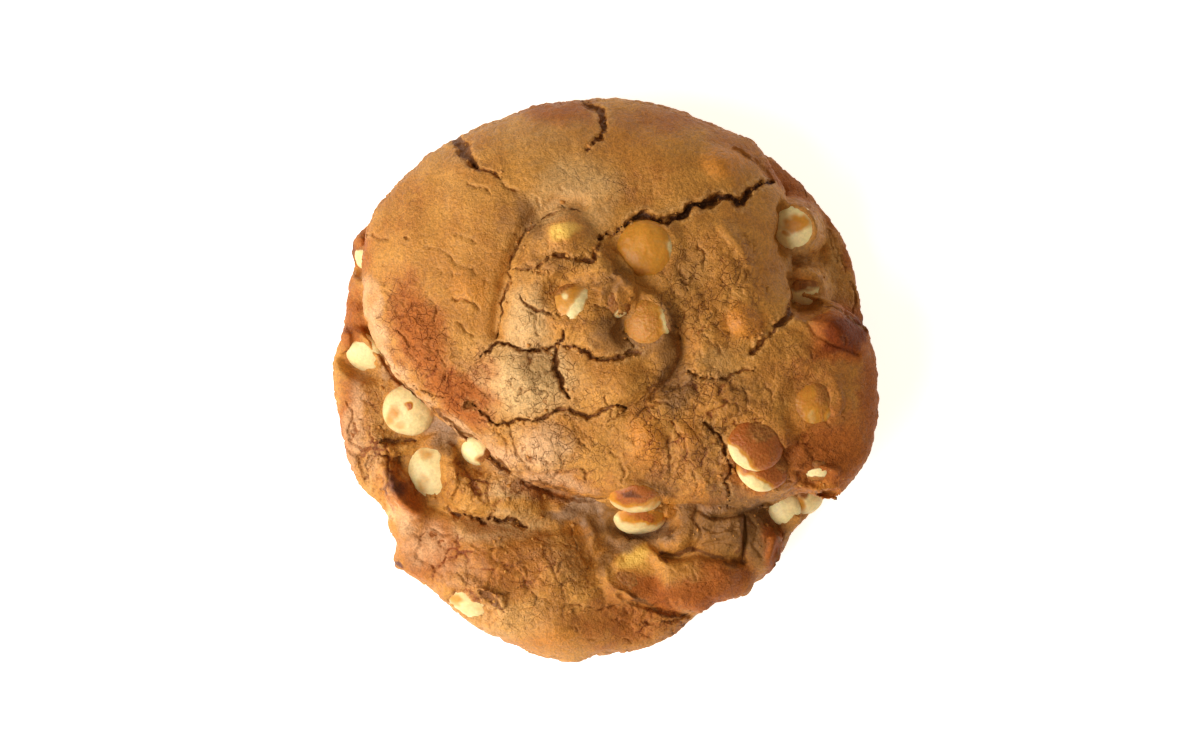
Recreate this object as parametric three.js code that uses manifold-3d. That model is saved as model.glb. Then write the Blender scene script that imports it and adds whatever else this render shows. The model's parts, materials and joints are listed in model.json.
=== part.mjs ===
// A thick, craggy baked cookie with white chocolate buttons, in millimetres, +Z up.
// It stands on its flat underside at z = 0 with the middle of its outline at x = y = 0.
// The dough is one solid, fused from rounded lumps, split by cracks and dented by pockets.
// Each button that shows is a solid of its own, seated in a pocket with a thin gap round it.
import * as THREE from 'three';
import { mergeVertices } from 'three/addons/utils/BufferGeometryUtils.js';
import { SimplexNoise } from 'three/addons/math/SimplexNoise.js';
import Module from 'manifold-3d';

// Driving dimensions
const COOKIE_TOP = 30; // top of the crown, without the knob
const BASE_RIM = 6; // height at which the lowest layer is widest
const BASE_TOP = 13;
const CROWN_RIM = 14.5;
const KNOB_TOP = 33;
const LEDGE_TOP = 12;
const HEEL_TOP = 17;
const FLAP_TOP = 16.5;
const SUNK_FOOT = -3; // lumps that reach the underside are cut flat at z = 0
const BUTTON_RADIUS = 5;
const BUTTON_HEIGHT = 3.4;
const POCKET_GAP = 0.4; // added to a button's profile for its pocket, about 0.3 square to its faces

// Fineness and unevenness
const OUTLINE_STEPS = 240;
const BUTTON_SIDES = 12;
const SOFTENING = Math.PI / 4; // how far round an outline is averaged for a lump's inner contours
const SOFTENING_STEPS = 12;
const BROAD_WAVE = 17; // wavelength of the broad unevenness
const BROAD_HEIGHT = 0.45;
const SMALL_WAVE = 6.5;
const SMALL_HEIGHT = 0.22;
const CRACK_NARROWEST = 0.65; // a crack's ragged width, as shares of its stated width
const CRACK_WIDEST = 1.35;
const CRACK_END = 0.06; // share of a half wave left off at each end of a crack, to keep its tips open
const CRACK_HEADROOM = 4; // how far a crack's cutter stands above the dough
const CRACK_FLOOR_WIDTH = 0.35; // width of a crack's floor as a share of its mouth
const MERGE_TOLERANCE = 1e-3;
const RANDOM_FACTOR = 16807;
const RANDOM_MODULUS = 2147483647;

// Colours
const DOUGH = 0xb97f45;
const CREAM = 0xeadba6;
const TOASTED = 0xc98338;
const BURNT = 0x8a4a2a;

// A seeded source of random numbers, so that the cookie comes out the same each time
function seededRandom(seed) {
  let state = seed;
  return () => {
    state = (state * RANDOM_FACTOR) % RANDOM_MODULUS;
    return state / RANDOM_MODULUS;
  };
}

const crackRandom = seededRandom(20631);
const noise = new SimplexNoise({ random: seededRandom(4127) });

// The lumps of dough. An outline is a lump's widest contour seen from above, rim is the height
// of that contour and rimSlope how the contour leans along x and y. Fullness says how square
// the lump's shoulder is, and underside the same below the contour. Facets is its fineness.
const LUMPS = [
  {
    name: 'base',
    centre: [0, 0],
    outline: [
      [29, 44.5], [35.5, 39.5], [41, 34], [46, 26.5], [49, 15.5], [50, 5], [49.5, -6], [48, -13],
      [45, -19], [41.5, -23], [36.5, -28.5], [34.5, -32], [31, -37], [26, -40], [16.5, -44],
      [3, -49], [-8.5, -50], [-20, -47], [-29.5, -41], [-37, -34.5], [-41, -26.5], [-45, -21],
      [-48.5, -16], [-50.5, -6], [-52, 2], [-50, 8.5], [-49.5, 14], [-48.8, 19], [-47.6, 22.3],
      [-48.4, 24.5], [-47.8, 27], [-44.5, 30.5], [-38, 36], [-28.5, 42.5], [-16, 48], [-1, 51], [14.5, 49.5],
    ],
    foot: SUNK_FOOT, rim: BASE_RIM, top: BASE_TOP, rimSlope: [0, 0], fullness: 5, underside: 5, facets: 7,
  },
  {
    name: 'crown',
    centre: [3, 14],
    outline: [
      [52, -2.5], [51, 6], [48.5, 11.5], [43.5, 15], [37, 17.5], [35.5, 23], [36.5, 29.5],
      [34, 36.5], [29, 45], [22, 48.5], [14.5, 51.5], [6, 53.5], [-3, 53.5], [-11, 53], [-20, 50],
      [-27.5, 46.5], [-35, 42], [-41.5, 35], [-45, 30], [-46, 22.5], [-45.5, 13], [-43, 6.5],
      [-39, 0], [-33, -5.5], [-26.5, -10.5], [-20, -15], [-14, -19], [-6.5, -21], [1, -23],
      [11.5, -23], [22, -23.5], [30.5, -24], [37, -21], [43, -22.5], [46.5, -19.5], [50, -14.5],
      [51.5, -9],
    ],
    foot: 1, rim: CROWN_RIM, top: COOKIE_TOP, rimSlope: [0, -0.09], fullness: 2.5, underside: 3.2,
    facets: 13,
  },
  {
    name: 'knob',
    centre: [-4, 18],
    outline: [
      [12, 15.5], [11.5, 8.5], [7, 5], [-1, 4], [-9, 6], [-17.5, 7], [-20, 10.5], [-19, 16.5],
      [-17.5, 22.5], [-14.5, 28], [-8.5, 32], [-4, 31.5], [-0.5, 27], [6, 22.5],
    ],
    foot: 18, rim: 27, top: KNOB_TOP, rimSlope: [0, 0], fullness: 2.6, underside: 2.6, facets: 5,
  },
  {
    name: 'ledge',
    centre: [-33, -3],
    outline: [
      [-52, 2], [-50, 8.5], [-49, 15], [-47.5, 21], [-40, 25], [-26, 14], [-14, -2], [-10, -17],
      [-14, -25], [-25.5, -25.5], [-36, -27], [-44, -22.5], [-48.5, -16.5], [-50.5, -7],
    ],
    foot: SUNK_FOOT, rim: 7.5, top: LEDGE_TOP, rimSlope: [0, 0], fullness: 4, underside: 4, facets: 5,
  },
  {
    name: 'nugget',
    centre: [-22, -18.5],
    outline: [
      [-11, -22], [-12, -27], [-20, -26.5], [-27.5, -25], [-32, -22.8], [-31.8, -17],
      [-31, -11], [-28, -9], [-22, -10], [-14, -16],
    ],
    foot: 6, rim: 11, top: 16.5, rimSlope: [0, 0], fullness: 3.4, underside: 3, facets: 4,
  },
  {
    name: 'scorched_tip',
    centre: [-37, -22.5],
    outline: [
      [-32, -23.5], [-32, -26], [-35, -28], [-39, -26], [-41.5, -22.5], [-42.5, -17],
      [-40, -15.5], [-36, -19.5],
    ],
    foot: 2, rim: 10, top: 15, rimSlope: [0, 0], fullness: 2.2, underside: 2.4, facets: 2,
  },
  {
    name: 'heel',
    centre: [-16, -38],
    outline: [
      [2, -38], [12, -41.5], [20.5, -42.3], [18, -44.6], [13, -49], [7, -51.5], [-1, -52.5],
      [-6.5, -53.7], [-14, -52], [-23.5, -47.5], [-31, -41.5], [-36, -37.5], [-40, -35.5],
      [-39.5, -31], [-41.5, -27.5], [-40, -24.5], [-35, -23.5], [-29, -24.5], [-20.5, -26.5],
      [-11, -27.5], [-4.5, -25.5], [-2, -31],
    ],
    foot: SUNK_FOOT, rim: 7, top: HEEL_TOP, rimSlope: [0, 0.08], fullness: 2.6, underside: 4, facets: 7,
  },
  {
    name: 'flap',
    centre: [15, -37.5],
    outline: [
      [0, -35.5], [3, -32], [8, -31], [12, -33.5], [18, -31.2], [23.5, -31.5], [27, -34],
      [28.7, -37], [28, -40], [25.5, -41.5], [21.5, -42.2], [18.5, -44.2], [12, -43.5],
      [6.5, -41.5], [1.5, -39],
    ],
    foot: 3, rim: 10, top: FLAP_TOP, rimSlope: [-0.06, 0.05], fullness: 2.4, underside: 3,
    facets: 5,
  },
  {
    name: 'left_fold',
    centre: [22, -27.5],
    outline: [
      [16, -20], [27.5, -20], [28.5, -25], [26.3, -27.5], [26.3, -33.5], [22, -34], [17, -32],
      [16, -26],
    ],
    foot: 2, rim: 9, top: 14, rimSlope: [0, 0.1], fullness: 4, underside: 4, facets: 3,
  },
  {
    name: 'right_fold',
    centre: [30, -30],
    outline: [
      [26.7, -22], [33, -22], [34, -28], [33.2, -34.5], [29.5, -37.5], [27, -35],
    ],
    foot: 1, rim: 8, top: 12.5, rimSlope: [0, 0.1], fullness: 4, underside: 4, facets: 3,
  },
  {
    name: 'drop',
    centre: [13.2, -28],
    outline: [
      [9, -27.5], [10, -23], [13, -20], [17, -22], [17.3, -29], [15.5, -32.5], [12, -33.2],
      [10.3, -31.3],
    ],
    foot: 5, rim: 12, top: 17, rimSlope: [0, 0.25], fullness: 2.6, underside: 3, facets: 3,
  },
];

// Low mounds and hollows on the top: where they lie, how wide they are and how high (or deep)
const MOUNDS = [
  { x: -20, y: 38, radius: 16, height: 0.8 },
  { x: 15, y: 42, radius: 12, height: 0.8 },
  { x: 22.5, y: 41.5, radius: 5.5, height: 1.2 },
  { x: -33, y: 10, radius: 13, height: 1.1 },
  { x: -25, y: 17, radius: 4.5, height: 0.8 },
  { x: 26, y: 11.5, radius: 4.2, height: 1.5 },
  { x: 22.5, y: 25.5, radius: 8, height: 1.2 },
  { x: 8, y: -11.3, radius: 4.8, height: 1.4 },
  { x: 16.3, y: -11.3, radius: 4.2, height: 1.1 },
  { x: -11.5, y: -14, radius: 8.5, height: 1.7 },
  { x: 44, y: 9.5, radius: 6.5, height: 2.6 },
  { x: 46, y: -4, radius: 9, height: 1.5 },
  { x: -15.5, y: 0, radius: 8, height: 2.2 },
  { x: 3, y: -1, radius: 7.5, height: 2 },
  { x: 19, y: 7, radius: 5, height: 0.9 },
  { x: -7.7, y: 27.5, radius: 4.8, height: 1.3 },
  { x: -25, y: -32, radius: 9, height: 0.9 },
  { x: -8, y: -47.5, radius: 5.5, height: 1 },
  { x: 23, y: -36.5, radius: 4.5, height: 1.2 },
  { x: -46.5, y: 12.5, radius: 3, height: 1.6 },
  { x: -46, y: 19, radius: 3.4, height: 1.6 },
  { x: -47.5, y: -2, radius: 6, height: 1 },
  { x: 10, y: -26, radius: 8, height: -3.2 },
  { x: 37, y: 22.5, radius: 4, height: -2.6 },
];

// Soft grooves: a line on the top, and the groove's width and depth
const GROOVES = [
  { line: [[7.8, 18.5], [12.2, 11.6], [15.6, 5.9], [13, 0.2], [8.7, -3], [4, -5.1]], width: 2.4, depth: 2 },
  { line: [[-4, 33], [-9, 33.4], [-14.5, 30], [-17, 25], [-19.5, 17], [-21.5, 9]], width: 2.4, depth: 1.6 },
  { line: [[28, 44], [31.5, 38], [36, 34], [40, 28.5], [42, 24]], width: 1.6, depth: 1.5 },
  { line: [[-2, -23], [0, -30], [1, -36]], width: 2, depth: 2.4 },
];

// Open cracks: a line on the top, the widest mouth and the depth
const CRACKS = [
  {
    line: [
      [-1.4, 26.4], [2, 27], [5, 29.4], [8, 30.8], [15, 30.7], [17.8, 33], [23.6, 34.2], [25.8, 33],
      [27.6, 35.4], [30, 37.6], [33, 37.6],
    ],
    width: 2.2, depth: 3.6,
  },
  { line: [[-28.6, 46.8], [-26.2, 43.6], [-24, 39.6], [-19.8, 39.8], [-18.6, 36]], width: 2.8, depth: 3.2 },
  { line: [[-4.2, 53.2], [-0.4, 50], [0.8, 46.8], [-0.8, 45], [-3.8, 42.6]], width: 1.5, depth: 2.4 },
  {
    line: [
      [-3.8, 31.8], [-8.6, 32.2], [-13.2, 29.8], [-15.2, 26.6], [-17.4, 21], [-19.2, 14.4], [-20.2, 7],
    ],
    width: 1.3, depth: 2.2,
  },
  { line: [[-17, 21.2], [-13, 20.4], [-8.4, 23], [-2.4, 21.6], [-1.6, 25]], width: 1, depth: 1.6 },
  {
    line: [[-22.8, 6.2], [-17.6, 7.6], [-13.6, 5.8], [-9, 6.4], [-4.4, 5.8], [0.4, 4.4], [7.4, 5.6]],
    width: 1.5, depth: 2.6,
  },
  { line: [[-8.9, 6.2], [-8.9, 1.8], [-7.4, -2], [-6, -4.2]], width: 1.1, depth: 2 },
  {
    line: [[-23.6, -5], [-20, -8.4], [-14, -7.2], [-7.6, -5.2], [-3, -6.8], [4.2, -5]],
    width: 1.4, depth: 2.4,
  },
  { line: [[36.6, 16], [34.4, 12], [30.6, 8.2], [27.4, 5.2]], width: 1.8, depth: 2.8 },
  { line: [[15, 2.6], [18.2, 0.6], [23.4, 0.8], [28, 2]], width: 1, depth: 1.6 },
  { line: [[17.6, -7.2], [22, -10.8], [23.8, -16.8], [22.6, -19], [23.4, -23.6]], width: 1.2, depth: 2.2 },
  { line: [[-30.4, -23.4], [-25.4, -25.6], [-16, -27], [-11.6, -28]], width: 1.7, depth: 3 },
  { line: [[-44, -10.4], [-37.8, -11.6], [-34.6, -10.4]], width: 1.2, depth: 1.8 },
];

// The buttons that show: name, place from above, size as a share of a whole button, lift of the
// middle above the dough, lean (which way the top face looks, and how far it leans that way,
// in degrees) and colour
const BUTTONS = [
  { name: 'trough_upper', x: 36.3, y: 28.6, size: 0.93, lift: 1.6, faces: 205, lean: 32 },
  { name: 'trough_lower', x: 37.8, y: 18, size: 0.64, lift: 1.2, faces: 270, lean: 34 },
  { name: 'knob_edge', x: 7.4, y: 24.7, size: 1.06, lift: 1.4, faces: 190, lean: 10, tone: TOASTED },
  { name: 'knob_left', x: -6, y: 15, size: 0.82, lift: 1, faces: 120, lean: 26, tone: TOASTED },
  { name: 'knob_right', x: 7.4, y: 11, size: 0.96, lift: 1.2, faces: 185, lean: 28, tone: TOASTED },
  { name: 'knob_middle', x: 1.9, y: 15.9, size: 0.68, lift: 0.9, faces: 350, lean: 56, tone: TOASTED },
  { name: 'right_shoulder', x: 39.7, y: -4, size: 0.94, lift: 1, faces: 40, lean: 14, tone: TOASTED },
  { name: 'pair_upper', x: 28.9, y: -10, size: 1.06, lift: 2.2, faces: 60, lean: 18, tone: TOASTED },
  { name: 'pair_lower', x: 30.4, y: -15, size: 1.04, lift: 0.6, faces: 60, lean: 20, tone: TOASTED },
  { name: 'sliver', x: 39.6, y: -17.2, size: 0.6, lift: 0.3, faces: 270, lean: 48 },
  { name: 'under_lip_left', x: 33.8, y: -24.8, size: 0.58, lift: 1.4, faces: 250, lean: 30 },
  { name: 'under_lip_right', x: 39.6, y: -22.6, size: 0.74, lift: 1.4, faces: 315, lean: 40 },
  { name: 'stack_upper', x: 5.9, y: -22.8, size: 1.02, lift: 3, faces: 268, lean: 60, tone: BURNT },
  { name: 'stack_lower', x: 6.8, y: -26.8, size: 1.02, lift: 3, faces: 272, lean: 58, tone: TOASTED },
  { name: 'flap', x: 5, y: -36.2, size: 1, lift: 1, faces: 60, lean: 26, tone: TOASTED },
  { name: 'ledge', x: -37.2, y: -5.7, size: 1.01, lift: 1.6, faces: 240, lean: 8 },
  { name: 'left_edge', x: -46.2, y: 4.8, size: 0.82, lift: 1, faces: 300, lean: 30 },
  { name: 'nugget', x: -32.2, y: -17, size: 1.02, lift: 1.6, faces: 190, lean: 16 },
  { name: 'nugget_tip', x: -24.2, y: -13.2, size: 0.72, lift: 1, faces: 240, lean: 40 },
  { name: 'upper_left_edge', x: -46.4, y: 24.2, size: 0.7, lift: 0.6, faces: 190, lean: 52 },
  { name: 'heel_edge', x: -26, y: -42.4, size: 0.8, lift: 0.5, faces: 250, lean: 30 },
];

// A lump's radius in each direction, from a smooth closed curve through its outline
function edgeFinder({ outline, centre }) {
  const points = outline.map(([x, y]) => new THREE.Vector3(x - centre[0], y - centre[1], 0));
  const curve = new THREE.CatmullRomCurve3(points, true, 'centripetal');
  const samples = curve.getPoints(OUTLINE_STEPS).map((p) => ({
    angle: Math.atan2(p.y, p.x),
    radius: Math.hypot(p.x, p.y),
  }));
  samples.sort((a, b) => a.angle - b.angle);
  const last = samples[samples.length - 1];
  const ring = [
    { angle: last.angle - 2 * Math.PI, radius: last.radius },
    ...samples,
    { angle: samples[0].angle + 2 * Math.PI, radius: samples[0].radius },
  ];
  return (direction) => {
    const angle = Math.atan2(Math.sin(direction), Math.cos(direction));
    const after = ring.findIndex((sample) => sample.angle > angle);
    const a = ring[after - 1];
    const b = ring[after];
    return THREE.MathUtils.mapLinear(angle, a.angle, b.angle, a.radius, b.radius);
  };
}

// The same radius averaged over a stretch of the outline, for the lump's inner contours
function averageFinder(edge) {
  return (angle) => {
    let sum = 0;
    for (let i = 0; i < SOFTENING_STEPS; i += 1) {
      sum += edge(angle + SOFTENING * (2 * (i + 0.5) / SOFTENING_STEPS - 1));
    }
    return sum / SOFTENING_STEPS;
  };
}

const edgeOf = new Map(LUMPS.map((lump) => [lump, edgeFinder(lump)]));
const averageOf = new Map(LUMPS.map((lump) => [lump, averageFinder(edgeOf.get(lump))]));

// Distance from a point to a line of points, and the nearest point of the line
function nearestOnLine(line, x, y) {
  let best = { distance: Infinity, x: 0, y: 0 };
  for (let i = 0; i + 1 < line.length; i += 1) {
    const [ax, ay] = line[i];
    const [bx, by] = line[i + 1];
    const along = ((x - ax) * (bx - ax) + (y - ay) * (by - ay)) / ((bx - ax) ** 2 + (by - ay) ** 2);
    const t = THREE.MathUtils.clamp(along, 0, 1);
    const px = ax + t * (bx - ax);
    const py = ay + t * (by - ay);
    const distance = Math.hypot(x - px, y - py);
    if (distance < best.distance) best = { distance, x: px, y: py };
  }
  return best;
}

// Height that mounds, hollows, grooves and general unevenness add to the top at a point
function relief(x, y) {
  let height = 0;
  for (const mound of MOUNDS) {
    const share = Math.hypot(x - mound.x, y - mound.y) / mound.radius;
    if (share < 1) height += mound.height * (1 - share * share) ** 2;
  }
  for (const groove of GROOVES) {
    const share = nearestOnLine(groove.line, x, y).distance / groove.width;
    if (share < 1) height -= groove.depth * (1 - share * share) ** 2;
  }
  height += BROAD_HEIGHT * noise.noise(x / BROAD_WAVE, y / BROAD_WAVE);
  height += SMALL_HEIGHT * noise.noise(x / SMALL_WAVE, y / SMALL_WAVE);
  return height;
}

function rimHeight(lump, x, y) {
  return lump.rim + lump.rimSlope[0] * (x - lump.centre[0]) + lump.rimSlope[1] * (y - lump.centre[1]);
}

// How far out a point lies in a lump, from 0 at its centre to 1 on its outline. Inner contours
// are smooth, and towards the edge they take up every bend of the outline.
function shareOut(lump, x, y) {
  const dx = x - lump.centre[0];
  const dy = y - lump.centre[1];
  const angle = Math.atan2(dy, dx);
  const edge = Math.min(1, Math.hypot(dx, dy) / edgeOf.get(lump)(angle));
  const smooth = Math.min(1, Math.hypot(dx, dy) / averageOf.get(lump)(angle));
  return smooth + (edge - smooth) * edge ** 3;
}

// Height of one lump's upper surface at a point that lies within it
function lumpTop(lump, x, y, share) {
  const rim = rimHeight(lump, x, y);
  const bulge = Math.sqrt(1 - share ** lump.fullness);
  return rim + (lump.top - rim) * bulge + relief(x, y) * Math.min(1, 2 * bulge);
}

// Height of the dough above a point, or zero beside the cookie
function doughTop(x, y) {
  let height = 0;
  for (const lump of LUMPS) {
    const share = shareOut(lump, x, y);
    if (share < 1) height = Math.max(height, lumpTop(lump, x, y, share));
  }
  return height;
}

let wasm;

function toSolid(geometry) {
  const bare = geometry.clone();
  bare.deleteAttribute('normal');
  bare.deleteAttribute('uv');
  const merged = mergeVertices(bare, MERGE_TOLERANCE);
  return new wasm.Manifold(new wasm.Mesh({
    numProp: 3,
    vertProperties: new Float32Array(merged.attributes.position.array),
    triVerts: new Uint32Array(merged.index.array),
  }));
}

function toGeometry(solid) {
  const mesh = solid.getMesh();
  const geometry = new THREE.BufferGeometry();
  geometry.setAttribute('position', new THREE.BufferAttribute(mesh.vertProperties, mesh.numProp));
  geometry.setIndex(new THREE.BufferAttribute(mesh.triVerts, 1));
  geometry.computeVertexNormals();
  return geometry;
}

// A lump is a ball whose widest contour follows the outline and whose top and underside bulge
function lumpSolid(lump) {
  const ball = new THREE.IcosahedronGeometry(1, lump.facets);
  ball.deleteAttribute('normal');
  ball.deleteAttribute('uv');
  const geometry = mergeVertices(ball, MERGE_TOLERANCE);
  const position = geometry.attributes.position;
  for (let i = 0; i < position.count; i += 1) {
    const angle = Math.atan2(position.getY(i), position.getX(i));
    const radius = Math.hypot(position.getX(i), position.getY(i)) * edgeOf.get(lump)(angle);
    const x = lump.centre[0] + radius * Math.cos(angle);
    const y = lump.centre[1] + radius * Math.sin(angle);
    const share = Math.min(1, shareOut(lump, x, y));
    const rim = rimHeight(lump, x, y);
    const z = position.getZ(i) > 0
      ? lumpTop(lump, x, y, share)
      : rim + (lump.foot - rim) * Math.sqrt(1 - share ** lump.underside);
    position.setXYZ(i, x, y, z);
  }
  return toSolid(geometry);
}

// A crack is a thin ragged sliver, wide at its mouth and narrow at its floor
function crackSolid({ line, width, depth }) {
  const left = [];
  const right = [];
  const steps = line.length - 1;
  const curve = new THREE.CatmullRomCurve3(line.map(([x, y]) => new THREE.Vector3(x, y, 0)));
  for (let i = 0; i <= steps; i += 1) {
    const t = i / steps;
    const point = curve.getPoint(t);
    const side = curve.getTangent(t);
    const ragged = THREE.MathUtils.lerp(CRACK_NARROWEST, CRACK_WIDEST, crackRandom());
    const taper = Math.sqrt(Math.sin(Math.PI * THREE.MathUtils.lerp(CRACK_END, 1 - CRACK_END, t)));
    const half = 0.5 * width * ragged * taper;
    left.push(new THREE.Vector2(point.x - side.y * half, point.y + side.x * half));
    right.unshift(new THREE.Vector2(point.x + side.y * half, point.y - side.x * half));
  }
  const sliver = new THREE.Shape([...left, ...right]);
  const geometry = new THREE.ExtrudeGeometry(sliver, { depth: 1, steps: 1, bevelEnabled: false });
  const middle = curve.getPoints(steps * 4).map((p) => [p.x, p.y]);
  const position = geometry.attributes.position;
  for (let i = 0; i < position.count; i += 1) {
    const x = position.getX(i);
    const y = position.getY(i);
    const nearest = nearestOnLine(middle, x, y);
    const level = doughTop(nearest.x, nearest.y);
    if (position.getZ(i) > 0.5) {
      position.setZ(i, level + CRACK_HEADROOM);
    } else {
      const floorX = nearest.x + (x - nearest.x) * CRACK_FLOOR_WIDTH;
      const floorY = nearest.y + (y - nearest.y) * CRACK_FLOOR_WIDTH;
      position.setXYZ(i, floorX, floorY, level - depth);
    }
  }
  return toSolid(geometry);
}

// A button has a flat underside, a rounded edge and a domed top. Grow makes its pocket.
function buttonGeometry({ size }, grow = 0) {
  const radius = BUTTON_RADIUS * size + grow;
  const half = 0.5 * BUTTON_HEIGHT * Math.sqrt(size) + grow;
  const profile = [
    [0, -half], [0.82 * radius, -half], [radius, -0.45 * half], [0.86 * radius, 0.25 * half],
    [0.5 * radius, 0.82 * half], [0, half],
  ].map(([r, z]) => new THREE.Vector2(r, z));
  return new THREE.LatheGeometry(profile, BUTTON_SIDES).rotateX(Math.PI / 2);
}

function placeButton(object, { x, y, lift, faces, lean }) {
  const heading = THREE.MathUtils.degToRad(faces);
  const axis = new THREE.Vector3(-Math.sin(heading), Math.cos(heading), 0);
  object.quaternion.setFromAxisAngle(axis, THREE.MathUtils.degToRad(lean));
  object.position.set(x, y, doughTop(x, y) + lift - 0.5 * BUTTON_HEIGHT);
  object.updateMatrixWorld(true);
}

function finish(colour, roughness) {
  return new THREE.MeshStandardMaterial({ color: colour, roughness, metalness: 0 });
}

function buildDough() {
  let dough = lumpSolid(LUMPS[0]);
  for (const lump of LUMPS.slice(1)) dough = dough.add(lumpSolid(lump));
  for (const crack of CRACKS) dough = dough.subtract(crackSolid(crack));
  for (const button of BUTTONS) {
    const pocket = new THREE.Mesh(buttonGeometry(button, POCKET_GAP));
    placeButton(pocket, button);
    dough = dough.subtract(toSolid(pocket.geometry.clone().applyMatrix4(pocket.matrixWorld)));
  }
  dough = dough.trimByPlane([0, 0, 1], 0);
  const pieces = dough.decompose().sort((a, b) => b.volume() - a.volume());
  const mesh = new THREE.Mesh(toGeometry(pieces[0]), finish(DOUGH, 0.8));
  mesh.name = 'dough';
  return mesh;
}

function buildButton(button) {
  const mesh = new THREE.Mesh(buttonGeometry(button), finish(button.tone ?? CREAM, 0.45));
  mesh.name = `button_${button.name}`;
  placeButton(mesh, button);
  return mesh;
}

wasm = await Module();
wasm.setup();

const cookie = new THREE.Group();
cookie.add(buildDough());
for (const button of BUTTONS) cookie.add(buildButton(button));

export default cookie;
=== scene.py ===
"""Dresses the white chocolate cookie: baked dough, white chocolate buttons and loose crumbs.

Lengths in the tables are millimetres in the model's frame: x to the right, y away from the
front and z up, with the cookie standing on z = 0.
"""

import json
import math

import bpy
import numpy as np
from bpy.props import FloatProperty, FloatVectorProperty, IntProperty, PointerProperty
from bpy.types import Operator, Panel, PropertyGroup
from mathutils import Matrix, Vector
from mathutils.bvhtree import BVHTree


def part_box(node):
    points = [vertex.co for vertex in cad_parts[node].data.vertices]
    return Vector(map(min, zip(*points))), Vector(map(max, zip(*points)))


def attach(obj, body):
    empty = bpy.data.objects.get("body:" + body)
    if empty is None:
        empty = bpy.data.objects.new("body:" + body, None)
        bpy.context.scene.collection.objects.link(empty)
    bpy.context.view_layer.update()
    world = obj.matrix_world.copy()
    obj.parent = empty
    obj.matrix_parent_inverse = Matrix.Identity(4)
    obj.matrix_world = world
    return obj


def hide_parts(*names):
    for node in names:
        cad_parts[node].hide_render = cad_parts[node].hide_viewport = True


bl_info = {
    "name": "White chocolate cookie",
    "version": (1, 0, 0),
    "blender": (4, 5, 0),
    "location": "3D Viewport > Sidebar > Cookie",
    "description": "Models the baked dough, its white chocolate buttons and its crumbs",
    "category": "Object",
}

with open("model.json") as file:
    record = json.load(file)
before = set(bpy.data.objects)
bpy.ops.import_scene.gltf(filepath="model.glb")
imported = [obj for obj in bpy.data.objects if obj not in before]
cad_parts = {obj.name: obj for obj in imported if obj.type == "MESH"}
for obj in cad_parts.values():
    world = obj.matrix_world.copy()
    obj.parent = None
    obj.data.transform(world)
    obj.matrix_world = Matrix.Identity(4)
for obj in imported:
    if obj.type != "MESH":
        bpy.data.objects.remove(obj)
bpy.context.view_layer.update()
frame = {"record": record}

MM = 0.001

# ---------------------------------------------------------------------------------------------
# The dough's form

SUNK_FOOT = -3.0  # lumps that reach the underside are cut flat at z = 0
ROUND = np.linspace(-math.pi, math.pi, 721)  # headings that an outline's radius is kept at
SOFTENING = 90  # steps of the round that an outline is averaged over, each way

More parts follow.
